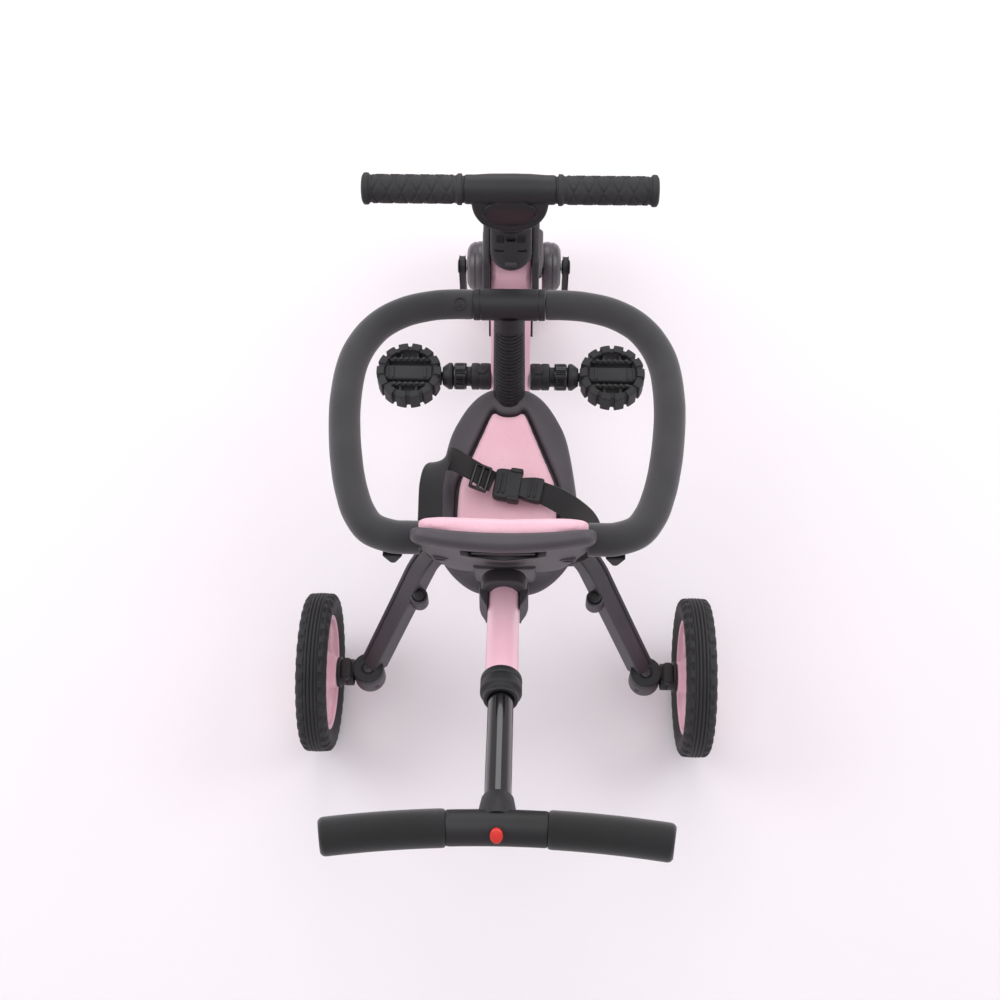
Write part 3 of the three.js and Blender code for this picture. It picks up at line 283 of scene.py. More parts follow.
def rearward(shape):
    """A slab drawn in the x-z plane, its height turned to the rear."""
    return outward(shape[0][:, [0, 2, 1]] * [1, -1, 1], shape[1])


def merged(*shapes):
    """Several shapes as one."""
    points, faces, base = [], [], 0
    for p, f in shapes:
        points.append(p)
        faces += [part + base for part in f]
        base += len(p)
    return np.concatenate(points), faces


def moved(shape, tilt, at):
    """A shape turned by tilt degrees about x and then moved."""
    c, s = math.cos(math.radians(tilt)), math.sin(math.radians(tilt))
    turn = np.array([[1, 0, 0], [0, c, -s], [0, s, c]])
    return outward(shape[0] @ turn.T + np.array(at, float), shape[1])


def mirrored(shape):
    """The same shape on the other side."""
    return outward(shape[0] * [-1, 1, 1], shape[1])


def make(name, shape, material, body, *nodes, at=(0, 0, 0), tilt=0, sharp=38, extra=None):
    """A mesh object at the origin from a shape in millimetres, riding on a body and standing for
    the CAD nodes named. The shape is turned by tilt about x and put at a place measured from the
    ground under the rear axle. Edges sharper than sharp degrees stay crisp. extra is a vector for
    every point, kept as the attribute called lay."""
    points, faces = moved(shape, tilt, at)
    mesh = bpy.data.meshes.new(name)
    mesh.from_pydata((points / 1000 + [0, AXLE_Y, 0]).tolist(), [], sum((f.tolist() for f in faces), []))
    mesh.shade_smooth()
    mesh.set_sharp_from_angle(angle=math.radians(sharp))
    if extra is not None:
        lay = mesh.attributes.new("lay", "FLOAT_VECTOR", "POINT")
        lay.data.foreach_set("vector", np.asarray(extra, np.float32).ravel())
    mesh.materials.append(material)
    piece = bpy.data.objects.new(name, mesh)
    bpy.context.scene.collection.objects.link(piece)
    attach(piece, body)
    if nodes:
        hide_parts(*nodes)
    return piece


def pair(name, shape, material, body, *nodes, **more):
    """The same piece on both sides. The shape is made for the rider's right, +x. A body or node name
    that has a star in it gets the side's name there."""
    made = []
    for side, flip in (("right", 1), ("left", -1)):
        points, faces = shape
        faces = faces if flip > 0 else [f[:, ::-1] for f in faces]
        there = [n.replace("*", side) for n in nodes]
        points = points * np.array([flip, 1, 1])
        made.append(make(f"{name}_{side}", (points, faces), material, body.replace("*", side), *there, **more))
    return made


REAR_RADIUS, FRONT_RADIUS = 90.0, 117.0
TYRE_DEPTH = 25.0
FRONT_AXLE, HEAD_TILT = (0, 538, 117), 25
REAR_X = 212.0


def tyre(radius, blocks, centre):
    """Tyre: a rounded-shoulder profile turned about x. Grooves are cut where the distance from the
    middle is near 0 or 4 mm. Notches are cut across each shoulder between blocks."""
    crown = np.linspace(-15, 15, 61)
    drop = 0.8 * (crown / 12) ** 2 + 1.9 * np.clip((np.abs(crown) - 12) / 3, 0, 1) ** 2
    tread = np.stack([radius - drop, crown], -1)
    wall = [[radius - 5, 16.3], [radius - 9, 16.9], [radius - 16, 16.3], [radius - 22, 13.2],
        [radius - 24.6, 12.2]]
    wall = evenly(softened(wall, 3), 12)
    inside = np.stack([np.full(6, radius - 25.0), np.linspace(11, -11, 6)], -1)
    profile = np.concatenate([tread, wall, inside, wall[::-1] * [1, -1]])

    def relief(angle, across, r):
        away = np.abs(across)
        outer = (r > radius - 7) * 1.0
        groove = np.exp(-(((away - 3.9) / 0.7) ** 2)) + np.exp(-((across / 0.7) ** 2))
        edge = np.exp(-(((away - 7.4) / 0.8) ** 2))
        shift = np.where(across > 0, 0.0, np.pi / blocks)
        wave = np.cos(blocks * (angle + shift))
        notch = 1 / (1 + np.exp(-(wave - 0.25) * 14))
        shoulder = 1 / (1 + np.exp(-(away - 8.8) * 3.5))
        sidewall = np.clip((r - (radius - 13)) / 3, 0, 1)
        return -outer * (1.5 * groove + 1.3 * edge) - 2.9 * notch * shoulder * sidewall

    return turned(profile, "x", centre, sides=blocks * 10, loop=True, relief=relief)


def disc(radius, hub, hub_half, centre):
    """Wheel disc: rim, web and hub as one profile turned about x. Six spokes stand out of the web
    where the cosine of six times the angle is high."""
    rim = radius - TYRE_DEPTH - 0.2
    web = 5.0
    side = [[5.4, hub_half], [hub, hub_half], [hub + 2.5, web + 5], [hub + 8, web], [rim - 11, web]]
    side += [[rim - 6, web + 3], [rim - 5, 12], [rim, 12]]
    side = softened(side, 1.6, 3)
    side = np.concatenate([evenly(side[:6], 8), evenly(side[6:-10], 22), side[-10:]])
    profile = np.concatenate([side[::-1] * [1, -1], side])[::-1]
    points, faces = turned(profile, "x", sides=180, loop=True)
    r = np.hypot(points[:, 1], points[:, 2])
    angle = np.arctan2(points[:, 2], points[:, 1])
    spoke = 1 / (1 + np.exp(-(np.cos(6 * angle) - 0.25) * 9))
    reach = np.clip((r - hub - 5) / 4, 0, 1) * np.clip((rim - 8 - r) / 4, 0, 1)
    flat = np.abs(points[:, 0]) < web + 6
    points[:, 0] += np.sign(points[:, 0]) * spoke * reach * 4.2 * flat
    return points + np.array(centre, float), faces


def hub_cap(outer, radius, centre):
    """Hub cap: a shallow dome with a step, turned about x."""
    profile = [[0.5, outer], [radius * 0.55, outer - 0.4], [radius * 0.6, outer - 1.4],
        [radius - 1, outer - 2.2]]
    profile += [[radius, outer - 4], [radius, outer - 6.5], [0.5, outer - 6.5]]
    return turned(softened(profile, 0.8), "x", centre, sides=64)


pair("rear_tyre_rubber", tyre(REAR_RADIUS, 34, (REAR_X, 0, REAR_RADIUS)), TYRE, "rear_wheel_*", "rear_tyre_*")
pair("rear_wheel_disc", disc(REAR_RADIUS, 17, 19, (REAR_X, 0, REAR_RADIUS)), PINK_PLASTIC, "rear_wheel_*",
    "rear_disc_*")
GREY = moulded("grey_plastic", "4c474d", "423e43", 0.47, grain=1300, depth=0.00007)
pair("rear_hub_cap", hub_cap(REAR_X + 21.2, 13, (0, 0, REAR_RADIUS)), GREY, "rear_wheel_*")
make("front_tyre_rubber", tyre(FRONT_RADIUS, 44, (0, 0, 0)), TYRE, "front_wheel", "front_tyre", at=FRONT_AXLE,
    tilt=HEAD_TILT)
make("front_wheel_disc", disc(FRONT_RADIUS, 20, 25, (0, 0, 0)), PINK_PLASTIC, "front_wheel", "front_disc",
    at=FRONT_AXLE, tilt=HEAD_TILT)
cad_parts["front_axle"].data.materials.clear()
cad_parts["front_axle"].data.materials.append(STEEL)


# ------------------------------------------------------------------ knuckles and rear arms
# Each rear wheel hangs on a black knuckle with a stub axle. A grey box beam with a groove along its
# top runs from there up to the hub, where it is hinged, and has a push button on its inner side.
def rectangle(width, height, radius, centre=(0, 0), count=48):
    """A rounded rectangle as count points at equal distances."""
    w, h = width / 2, height / 2
    corners = np.array([[w, -h], [w, h], [-w, h], [-w, -h]], float)
    line = softened(corners, min(radius * 1.35, w, h), 8, closed=True)
    return evenly(line, count, closed=True) + np.array(centre, float)


def inset(outline, distance):
    """A closed outline moved inwards, along each point's own normal."""
    along = np.roll(outline, -1, 0) - np.roll(outline, 1, 0)
    along /= np.linalg.norm(along, axis=1, keepdims=True) + 1e-9
    return outline + distance * np.stack([-along[:, 1], along[:, 0]], -1)


def slab(outline, low, high, edge, rings=1, crown=0.0, steps=4):
    """An anticlockwise outline raised from low to high. Both rims are quarter rounds of radius edge.
    The top rises by crown towards its middle, and rings more rows carry it there."""
    t = np.linspace(0, np.pi / 2, steps + 1)
    ins = np.concatenate([edge * (1 - np.sin(t)), edge * (1 - np.cos(t))])
    height = np.concatenate([low + edge * (1 - np.cos(t)), high - edge + edge * np.sin(t)])
    rows = [np.column_stack([inset(outline, d), np.full(len(outline), h)]) for d, h in zip(ins, height)]
    middle = outline.mean(0)
    for scale in np.linspace(1, 0.04, rings + 1)[1:]:
        flat = middle + (inset(outline, edge) - middle) * scale
        rows.append(np.column_stack([flat, np.full(len(outline), high + crown * (1 - scale**2))]))
        rows.insert(0, np.column_stack([flat, np.full(len(outline), low)]))
    return skin(np.stack(rows))


def facing(shape, order):
    """A shape with its three coordinates put in another order."""
    return outward(shape[0][:, order], shape[1])


def both_halves(half):
    """A closed outline from its right half, whose first and last points lie on the middle."""
    return np.concatenate([half, half[-2:0:-1] * [-1, 1]])


SIDEWAYS, UPRIGHT = [2, 0, 1], [0, 2, 1]


def carried(path, section, side):
    """A section carried along a path. Its first coordinate lies along side and its second is square
    to both side and path."""
    path, section = np.asarray(path, float), np.asarray(section, float)
    ahead = np.gradient(path, axis=0)
    ahead /= np.linalg.norm(ahead, axis=1, keepdims=True)
    side = np.broadcast_to(np.asarray(side, float), path.shape)
    side = side - ahead * (side * ahead).sum(1, keepdims=True)
    side = side / np.linalg.norm(side, axis=1, keepdims=True)
    up = np.cross(side, ahead)
    if section.ndim == 2:
        section = section[None] + 0 * path[:, :1, None]
    return skin(path[:, None] + section[..., :1] * side[:, None] + section[..., 1:] * up[:, None])


def rod(start, end, radius, end_radius=None, edge=1.0, sides=48):
    """A round rod between two points, its ends rounded over."""
    start, end = np.array(start, float), np.array(end, float)
    length = np.linalg.norm(end - start)
    last = radius if end_radius is None else end_radius
    profile = softened([[0.4, 0], [radius, 0], [last, length], [0.4, length]], edge, 5)
    points, faces = turned(profile, "z", sides=sides)
    z = (end - start) / length
    x = np.cross([0.0, 1.0, 0.01], z)
    x /= np.linalg.norm(x)
    return outward(points @ np.stack([x, np.cross(z, x), z]) + start, faces)


def screw_head(centre, radius, normal):
    """A domed screw head with a cross recess 1.2 mm deep, looking along normal in the y-z plane."""
    r = np.concatenate([[radius, radius], np.linspace(radius * 0.96, 0.15, 16)])[:, None]
    angle = full_turn(64)[None]
    x, y = r * np.cos(angle), r * np.sin(angle)
    z = 1.3 * (1 - (r / radius) ** 2) + 0 * angle
    z[0] = -2.0
    slot = np.minimum(np.abs(x), np.abs(y)) < radius * 0.14
    z = z - 1.2 * (slot & (r < radius * 0.62))
    points, faces = skin(np.stack([x, y, z], -1))
    n = np.array(normal, float) / np.linalg.norm(normal)
    u = np.array([1.0, 0, 0]) - n * n[0]
    u /= np.linalg.norm(u)
    return outward(points @ np.stack([u, np.cross(n, u), n]) + np.array(centre, float), faces)


BLACK = moulded("black_plastic", "1d1b1e", "151416", 0.48, grain=1300, depth=0.00008)
GLOSS = moulded("gloss_black", "141316", "0e0d10", 0.16, grain=300, depth=0.00001)
KNUCKLE_X, KNUCKLE_LOW, KNUCKLE_HIGH, KNUCKLE_RADIUS = 157, 72, 98, 17.5
PIVOT, EYE_RADIUS = np.array([71.0, 100.0, 231.0]), 16


def knuckle():
    """Knuckle: a countersunk cap turned about the hinge pin, a web, a ribbed stub and a flange."""
    top = KNUCKLE_HIGH + 9.3
    cap = [[0.4, top - 2.5], [5.2, top - 2.5], [7.6, top], [KNUCKLE_RADIUS, top]]
    cap += [[KNUCKLE_RADIUS, KNUCKLE_HIGH + 0.4], [0.4, KNUCKLE_HIGH + 0.4]]
    cap = turned(softened(cap, 1.6), "z", (KNUCKLE_X, 0, 0), 72)
    web = slab(rectangle(13, 25, 5, (182, 0)), 77, top, 3)
    stub = [[0.4, 174], [15, 174], [15, 181], [13.6, 182], [13.6, 184], [15, 185], [15, 188]]
    stub += [[17.4, 188.5], [17.4, 192.4], [0.4, 192.4]]
    stub = turned(softened(stub, 0.9), "x", (0, 0, REAR_RADIUS), 72)
    pin = rod((KNUCKLE_X, 0, KNUCKLE_LOW + 4), (KNUCKLE_X, 0, KNUCKLE_HIGH + 2), 3.8)
    return merged(cap, web, stub, pin)


def arm():
    """Arm: a rounded box section with a groove in its top, carried from the knuckle up to the hinge,
    with a barrel at one end and an eye at the other."""
    plan = np.array([KNUCKLE_X, 0]) - PIVOT[:2]
    plan /= np.linalg.norm(plan)
    elbow = PIVOT + np.array([*plan * 27, 0])
    path = np.stack([(KNUCKLE_X - 4, 9, 91), elbow, PIVOT])
    path = evenly(softened(path, 16, 10), 40)
    section = outline([[11, -14.5], [11, 14.5], [-5.2, 14.5], [-5.2, 12.4], [-7.4, 12.4], [-7.4, 14.5],
        [-11, 14.5], [-11, -14.5]], 2.2, 96, 5)
    side = np.array([plan[1] * -1, plan[0], 0])
    rise = np.linspace(0, 1, 40)[:, None, None] ** 3
    sections = section[None] * (1 + rise * [[[0.0, 0.15]]])
    beam = carried(path, sections * [-1, 1], side)
    barrel = [[4.6, KNUCKLE_LOW], [KNUCKLE_RADIUS, KNUCKLE_LOW], [KNUCKLE_RADIUS, KNUCKLE_HIGH],
        [4.6, KNUCKLE_HIGH]]
    barrel = hoop(barrel, 1.5, "z", (KNUCKLE_X, 0, 0), 72)
    eye = [[5.5, 214], [EYE_RADIUS, 214], [EYE_RADIUS, 248], [5.5, 248]]
    eye = hoop(eye, 1.5, "z", (PIVOT[0], PIVOT[1], 0), 64)
    lug = [[6.9, 188], [9.6, 188], [9.6, 209], [6.9, 209]]
    lug = hoop(lug, 1.2, "z", (95, 49, 0), 48)
    return merged(beam, barrel, eye, lug)


pair("wheel_knuckle", knuckle(), BLACK, "knuckle_*", "knuckle_*")
pair("knuckle_screw", screw_head((KNUCKLE_X, 0, KNUCKLE_HIGH + 7.2), 5, (0, 0.001, 1)), GREY, "knuckle_*")
pair("rear_arm", arm(), GREY, "arm_*", "arm_*")
pair("barrel_hole", rod((KNUCKLE_X - 9, -14.8, 84), (KNUCKLE_X - 9.2, -15.3, 84), 2.6, edge=0.2), BLACK,
    "arm_*")
pair("arm_release", rod((95, 49, 193), (95, 49, 213), 6.5, edge=2), BLACK, "arm_button_*", "arm_button_*")

# ------------------------------------------------------------------ main beam and its channel
# One pink painted beam, box-shaped with broad chamfers, drops from the head and levels out under
# the seat. A black plastic channel clips round its front below the ring.
PINK_FRAME = moulded("pink_frame", "f3c5d2", "eebccb", 0.3, grain=500, depth=0.00002, Coat_Weight=0.25)
BEAM_WIDTH, BEAM_DEPTH, BEAM_REACH = 43.5, 44.0, 37.9
FOLD_PIN = np.array([388.0, 346.0])


def through(points, count):
    """A smooth curve through points, with count points on it at equal distances. Each stretch is the
    cubic whose slope at a point is half the step between the point's neighbours."""
    p = np.asarray(points, float)
    p = np.concatenate([2 * p[:1] - p[1:2], p, 2 * p[-1:] - p[-2:-1]])
    t = np.linspace(0, 1, 24, endpoint=False)[:, None]
    runs = []
    for a, b, c, d in zip(p, p[1:], p[2:], p[3:]):
        runs.append(b + 0.5 * t * (c - a + t * (2 * a - 5 * b + 4 * c - d + t * (3 * (b - c) + d - a))))
    return evenly(np.concatenate([*runs, p[-2:-1]]), count)


BEAM_LINE = through([[383, 368], [340, 307], [300, 250], [262, 222], [210, 215], [148, 222]], 90)
BEAM_PATH = np.column_stack([np.zeros(90), BEAM_LINE])
w, d, c = BEAM_WIDTH / 2, BEAM_DEPTH / 2, 6.5
beam_section = softened([[w, -d + c], [w, d - c], [w - c, d], [c - w, d], [-w, d - c], [-w, c - d], [c - w, -d],
    [w - c, -d]], 1.4, 4, closed=True)
points, faces = carried(BEAM_PATH, beam_section, (1, 0, 0))
from_pin = points[:, 1:] - FOLD_PIN
far = np.linalg.norm(from_pin, axis=1)
near_end = (np.arange(len(points)) < 14 * len(beam_section)) & (far > BEAM_REACH)
points[near_end, 1:] = FOLD_PIN + from_pin[near_end] / far[near_end, None] * BEAM_REACH
make("pink_beam", (points, faces), PINK_FRAME, "frame", "main_beam")

channel_section = np.array([[w + 2.4, -1], [w + 2.4, 16.5], [w - 6, 24.6], [6 - w, 24.6], [-w - 2.4, 16.5],
    [-w - 2.4, -1], [-w - 0.4, -1], [-w - 0.4, 15.5], [6.2 - w, 22.3], [w - 6.2, 22.3], [w + 0.4, 15.5],
    [w + 0.4, -1]])
make("beam_channel", carried(BEAM_PATH[17:29], channel_section, (1, 0, 0)), BLACK, "frame", "beam_cover")

# ------------------------------------------------------------------ head and latch
# The head is a grey moulding: a tube for the steerer and two cheeks that clasp the beam's end. A
# hooded cap covers the joint, with a slatted window, two vents and an oval button in its lip.
FOLD_GREY = moulded("grey_plastic", "3b393d", "312f33", 0.4, grain=1200, depth=0.00006)


def on_beam_end(shape):
    """A shape given as across, down the beam and out of its top face, put at the beam's upper end."""
    points, down, out = shape[0], np.array([-0.5762, -0.8173]), np.array([-0.8173, 0.5762])
    y_z = np.array([383, 368]) + points[:, 1:2] * down + (points[:, 2:] + BEAM_DEPTH / 2) * out
    return outward(np.column_stack([points[:, 0], y_z]), shape[1])


cheek_line = outline([[373.4, 311], [446, 327], [412, 398], [362, 385], [332.6, 340]], 9, 90, 6)
cheek = facing(slab(cheek_line, w + 0.3, w + 8.3, 2, rings=1), SIDEWAYS)
tube = turned(softened([[0.4, 178], [22.5, 178], [22.5, 184], [21.6, 185], [21.6, 336], [22.5, 337],
    [22.5, 343], [0.4, 343]], 1.2), "z", sides=72)
tube = moved(tube, HEAD_TILT, FRONT_AXLE)
pin = rod((-w - 9.5, *FOLD_PIN), (w + 9.5, *FOLD_PIN), 6.5, edge=2)
make("head_casting", merged(tube, cheek, mirrored(cheek), pin), FOLD_GREY, "head", "head_block")

CAP_START, CAP_END = -38, 9
cap_line = np.array([[w, CAP_START]] + [[w * math.cos(a), CAP_END - w + w * math.sin(a)] for a in np.linspace(0,
    math.pi, 25)] + [[-w, CAP_START]])
cap = slab(outline(cap_line, 2, 120), 0.3, 9.3, 3.4, rings=10)
lift = np.clip((cap[0][:, 2] - 6) / 3, 0, 1)
cap[0][:, 2] += lift * (1.6 - 3.2 * (cap[0][:, 0] / w) ** 2)
make("latch_hood", on_beam_end(cap), FOLD_GREY, "head", "latch_cap")
slats = [slab(rectangle(0.9, 9, 0.4, (x, -27), 16), 9, 11.3 - 3.2 * (x / w) ** 2,
    0.3) for x in np.concatenate([np.arange(-15, -6, 1.8), np.arange(7.5, 16, 1.8)])]
window = slab(rectangle(11, 5.5, 2, (0, -27)), 9, 11.2, 0.5)
vents = [slab(rectangle(11, 1.6, 0.7, (x, -14), 24), 9, 10.6, 0.3) for x in (-12, 12)]
make("latch_window", on_beam_end(merged(window, *vents, *slats)), GLOSS, "head")
make("latch_key", on_beam_end(slab(rectangle(13, 5.5, 2.7, (0, CAP_END - 8)), 4, 11.6, 1.2, rings=4,
    crown=0.5)), GREY, "latch_button", "latch_button")
pair("cheek_slot", facing(slab(rectangle(26, 3, 1.4, (372, 376), 40), w + 2.6, w + 6.4, 0.4), SIDEWAYS), BLACK,
    "head")

# ------------------------------------------------------------------ fork, axle covers and cranks
# The fork is a grey moulding with two flat legs, hung on a plated steerer. Beside the wheel each
# leg carries a domed housing with a lip, and outside that a thin crank plate with no pedal on it.
STEERING = dict(at=FRONT_AXLE, tilt=HEAD_TILT)
FORK_INSIDE, FORK_LEG, BAR_HEIGHT, CRANK_TURN = 26.5, 9.0, 446, -30
leg_line = [[-15, 0], [-13, -9], [-7, -14], [0, -15.5], [7, -14], [13, -9], [15, 0], [17, 150], [-17, 150]]
FORK_OUTSIDE = FORK_INSIDE + FORK_LEG
leg = facing(slab(outline(leg_line, 5, 72), FORK_INSIDE, FORK_OUTSIDE, 2.4), SIDEWAYS)
rib = facing(slab(outline([[-7, 18], [7, 18], [9, 118], [-9, 118]], 5, 60), FORK_OUTSIDE - 1,
    FORK_OUTSIDE + 1.6, 1.4), SIDEWAYS)
leg = merged(leg, rib)
crown = facing(slab(rectangle(2 * FORK_OUTSIDE, 42, 12, (0, 153), 90), -17, 17, 4), UPRIGHT)
race = hoop([[11.6, 150], [22, 150], [22, 177.6], [11.6, 177.6]], 1.4, "z", sides=72)
make("fork_moulding", merged(leg, mirrored(leg), crown, race), GREY, "steering", "fork", **STEERING)
make("steerer_tube", rod((0, 0, 148), (0, 0, 425), 11), STEEL, "steering", "steerer", **STEERING)

dome = [[5.5, 35.9], [28, 35.9], [31.4, 38], [32, 44], [31, 47], [30.6, 48.5], [31.4, 50], [28, 56], [22, 59.4],
    [5.5, 60]]
dome = hoop(dome, 1.8, "x", sides=96, steps=5)
GLOSS_GREY = moulded("grey_plastic", "504d51", "454347", 0.25, grain=900, depth=0.00002)
pair("axle_housing", dome, GLOSS_GREY, "steering", "axle_cover_*", **STEERING)
plate_line = [[-13 * math.sin(a), 13 * math.cos(a)] for a in np.linspace(-math.pi / 2, math.pi / 2, 24)]
plate_line += [[11 * math.sin(a), -66 - 11 * math.cos(a)] for a in np.linspace(-math.pi / 2, math.pi / 2, 24)]
plate_line = evenly(np.array(plate_line)[::-1], 90, closed=True)
crank = facing(slab(plate_line, 62.5, 70, 1.6), SIDEWAYS)
boss = turned(softened([[0.4, 61], [9, 61], [9, 71.4], [6, 72], [0.4, 72]], 0.8), "x", sides=48)
eye_ring = hoop([[5.2, 61.5], [9.2, 61.5], [9.2, 71], [5.2, 71]], 0.8, "x", (0, 0, -66), 48)
crank = moved(merged(crank, boss, eye_ring), CRANK_TURN, (0, 0, 0))
pair("crank_plate", crank, BLACK, "front_wheel", "crank_*", **STEERING)

# ------------------------------------------------------------------ handlebar
# A steel bar in a black moulded cover with an apron that faces up at the rider and carries a blank
# oval badge. The rubber grips have a raised lattice of diamonds between two flanges.
GRIP_RUBBER = moulded("grip", "2a292b", "202022", 0.6, grain=700, depth=0.00005)
BAR_END, GRIP_START, APRON_TURN = 143.5, 46.5, -50


def grip():
    """Grip: a profile turned about the bar. Grooves run along two sets of helices, so that the
    rubber between them stands up in diamonds."""
    middle = np.linspace(GRIP_START + 7, BAR_END - 9, 150)
    profile = [[9.3, GRIP_START - 2.4], [13, GRIP_START - 2.4], [13, GRIP_START], [15.2, GRIP_START],
        [15.2, GRIP_START + 4], [13.6, GRIP_START + 5.5]]
    end = [[13.6, BAR_END - 7.5], [15.4, BAR_END - 6.5], [15.4, BAR_END - 2], [12, BAR_END], [0.4, BAR_END]]
    profile = np.concatenate([softened(profile, 1), np.column_stack([np.full(150, 13.1), middle]),
        softened(end, 1.2)])

    def relief(angle, along, r):
        turns = (along - GRIP_START) / 14.4 * 2 * np.pi
        first, second = np.cos((turns + 3 * angle) / 2) ** 2, np.cos((turns - 3 * angle) / 2) ** 2
        raised = 1 - np.maximum(np.clip((first - 0.86) / 0.1, 0, 1), np.clip((second - 0.86) / 0.1, 0, 1))
        band = np.clip((along - GRIP_START - 7.5) / 1.5, 0, 1) * np.clip((BAR_END - 9.5 - along) / 1.5, 0, 1)
        return 0.95 * raised * band * (r < 13.3)

    return turned(profile, "x", (0, 0, BAR_HEIGHT), 216, relief=relief)


pair("rubber_grip", grip(), GRIP_RUBBER, "steering", "grip_*", **STEERING)
make("handlebar_tube", rod((-139, 0, BAR_HEIGHT), (139, 0, BAR_HEIGHT), 9), STEEL, "steering", "handlebar",
    **STEERING)


def leaned(shape):
    """A shape turned back about the handlebar's line, as the apron is."""
    return moved(moved(shape, 0, (0, 0, -BAR_HEIGHT)), APRON_TURN, (0, 0, BAR_HEIGHT))


tee = [[9.4, -44.5], [13.4, -44.5], [14.2, -42], [14.2, -34], [15.2, -20], [15.4, 0], [15.2, 20], [14.2, 34],
    [14.2, 42], [13.4, 44.5], [9.4, 44.5]]
tee = hoop(tee, 1.5, "x", (0, 0, BAR_HEIGHT), 96)
apron_line = through([[-38.5, 6], [-38, -8], [-34, -24], [-22, -36], [0, -41], [22, -36], [34, -24], [38, -8],
    [38.5, 6]], 100) + [0, BAR_HEIGHT]
apron_line = evenly(np.concatenate([apron_line, [[20, BAR_HEIGHT + 9], [-20, BAR_HEIGHT + 9]]]), 130,
    closed=True)
apron = leaned(facing(slab(apron_line, -12, 9, 4.2, rings=3), UPRIGHT))
neck = hoop([[11.6, 343.4], [23.4, 343.4], [22, 372], [18, 424], [11.6, 428]], 3, "z", sides=72)
make("stem_cover_moulding", merged(tee, apron, neck), BLACK, "steering", "stem_cover", **STEERING)
oval = np.column_stack([27 * np.cos(full_turn(96)), BAR_HEIGHT - 18.5 + 13.4 * np.sin(full_turn(96))])
badge_plate = facing(slab(oval, 0, 3.2, 1.2, rings=8, crown=0.8), UPRIGHT)
badge_plate = leaned(outward(badge_plate[0] * [1, -1, 1] + [0, -10.6, 0], badge_plate[1]))
make("blank_badge", badge_plate, GLOSS, "steering", "badge", **STEERING)

# ------------------------------------------------------------------ parked pedals
# Each pedal is a round rubber tread of blocks about a plain bar, with rows of nubs and two slots you
# can see through. It is pushed on a stepped barrel on the beam's side, with a ribbed spring sleeve.
SOCKET_START, SOCKET_END = 22.05, 76.05
PEDAL_PLACE = (0, 296, 254)
socket = [[0.4, SOCKET_START], [14, SOCKET_START], [15, 24], [15, 33], [14.2, 33.6], [14.2, 34.8], [15, 35.4],
    [15, 43], [11, 44.4]]
socket += [[11, 64], [14, 64.6], [15, 66], [15, 69], [10, 76], [5, 76.1], [5, 141], [0.4, 141]]
key = rod((31, 0, 12), (31, 0, 16.2), 5.5, edge=1.2)
barrel = merged(turned(softened(socket, 0.7), "x", sides=72), key)
pair("pedal_barrel", barrel, BLACK, "frame", "pedal_socket_*", at=PEDAL_PLACE)
ring_profile = [[11.4, 49.05], [14.4, 49.05], [15, 50.4], [15, 61.6], [14.4, 63.05], [11.4, 63.05]]
ring_profile = outline(ring_profile, 0.5, 48)
sleeve = turned(ring_profile, "x", sides=192, loop=True, relief=lambda a, x,
    r: -0.7 * (np.cos(32 * a) > 0.35) * (r > 14.6) * (np.abs(x - 56) < 4.6))
pair("spring_sleeve", sleeve, GLOSS, "socket_sleeve_*", "socket_sleeve_*", at=PEDAL_PLACE)


def pedal():
    """Pedal: a closed ring whose section is pushed in between fourteen blocks, a bored bar across it,
    two rails, and rows of nubs on both faces."""
    middle = SOCKET_END + 1 + 36.5
    angle = full_turn(336)
    wave = np.clip((np.cos(14 * angle) + 0.72) * 6, 0, 1)[:, None]
    section = outline([[0, -12.3], [9, -12.3], [9, 12.3], [0, 12.3]], 1.4, 56)
    out = section[None, :, 0] * (0.62 + 0.38 * wave)
    tall = section[None, :, 1] * (0.86 + 0.14 * wave)
    radius_x, radius_y = 27.4 + out, 26.4 + out
    rim = skin(np.stack([middle + radius_x * np.cos(angle)[:, None], radius_y * np.sin(angle)[:, None], tall],
        -1), loop=True)
    bar = slab(rectangle(58, 19, 4, (middle, 0)), -8.5, 8.5, 3)
    rails = [slab(rectangle(46, 4.6, 2, (middle, y), 36), -9.4, 9.4, 1.2) for y in (-15.8, 15.8)]
    bridges = [slab(rectangle(3.2, 11, 1.4, (middle + x, y), 24), -8, 8, 1) for x in (-9, 9) for y in (-21, 21)]
    nubs = [slab(rectangle(4.2, 3.6, 1.5, (middle + x, y), 16), a, b, 0.6) for x in np.arange(-16, 17,
        6.4) for y in (-15.8, 15.8) for a, b in ((9, 11.6), (-11.6, -9))]
    ridges = [slab(rectangle(3, 15, 1.2, (middle + x, 0), 24), -9.6, 9.6, 0.8) for x in (-24, -18, 18, 24)]
    return merged(rim, bar, *rails, *bridges, *nubs, *ridges)


pair("pedal_tread", pedal(), GRIP_RUBBER, "pedal_*", "pedal_*", at=PEDAL_PLACE)

# ------------------------------------------------------------------ hub, seat and crotch post
# The grey hub holds the beam's tail and both arm hinges. On it a round base with a ribbed rim holds
# the saddle: a satin grey shell, egg-shaped in plan, with a soft pink cushion let into its top. The
# post stands in the shell's nose.
HUB_LOW, HUB_HIGH = 213.7, 248.3
hub_line = [[87, 92], [86, 112], [74, 117], [30, 166], [-30, 166], [-74, 117], [-86, 112], [-87, 92], [-76, 86],
    [-28, 84], [-26, 46], [26, 46], [28, 84], [76, 86]]
hub_line = outline(hub_line, 8, 140, 6)
plates = [slab(hub_line, HUB_HIGH, HUB_HIGH + 7, 1.6), slab(hub_line[(hub_line[:, 1] > 83.9)], HUB_LOW - 7,
    HUB_LOW, 1.6)]
core = slab(rectangle(54, 86, 7, (0, 95)), HUB_LOW - 7, HUB_HIGH + 6, 2)
bolts = [rod((x, 100, HUB_LOW - 8.6), (x, 100, HUB_HIGH + 1), 6.4, edge=1) for x in (-71, 71)]
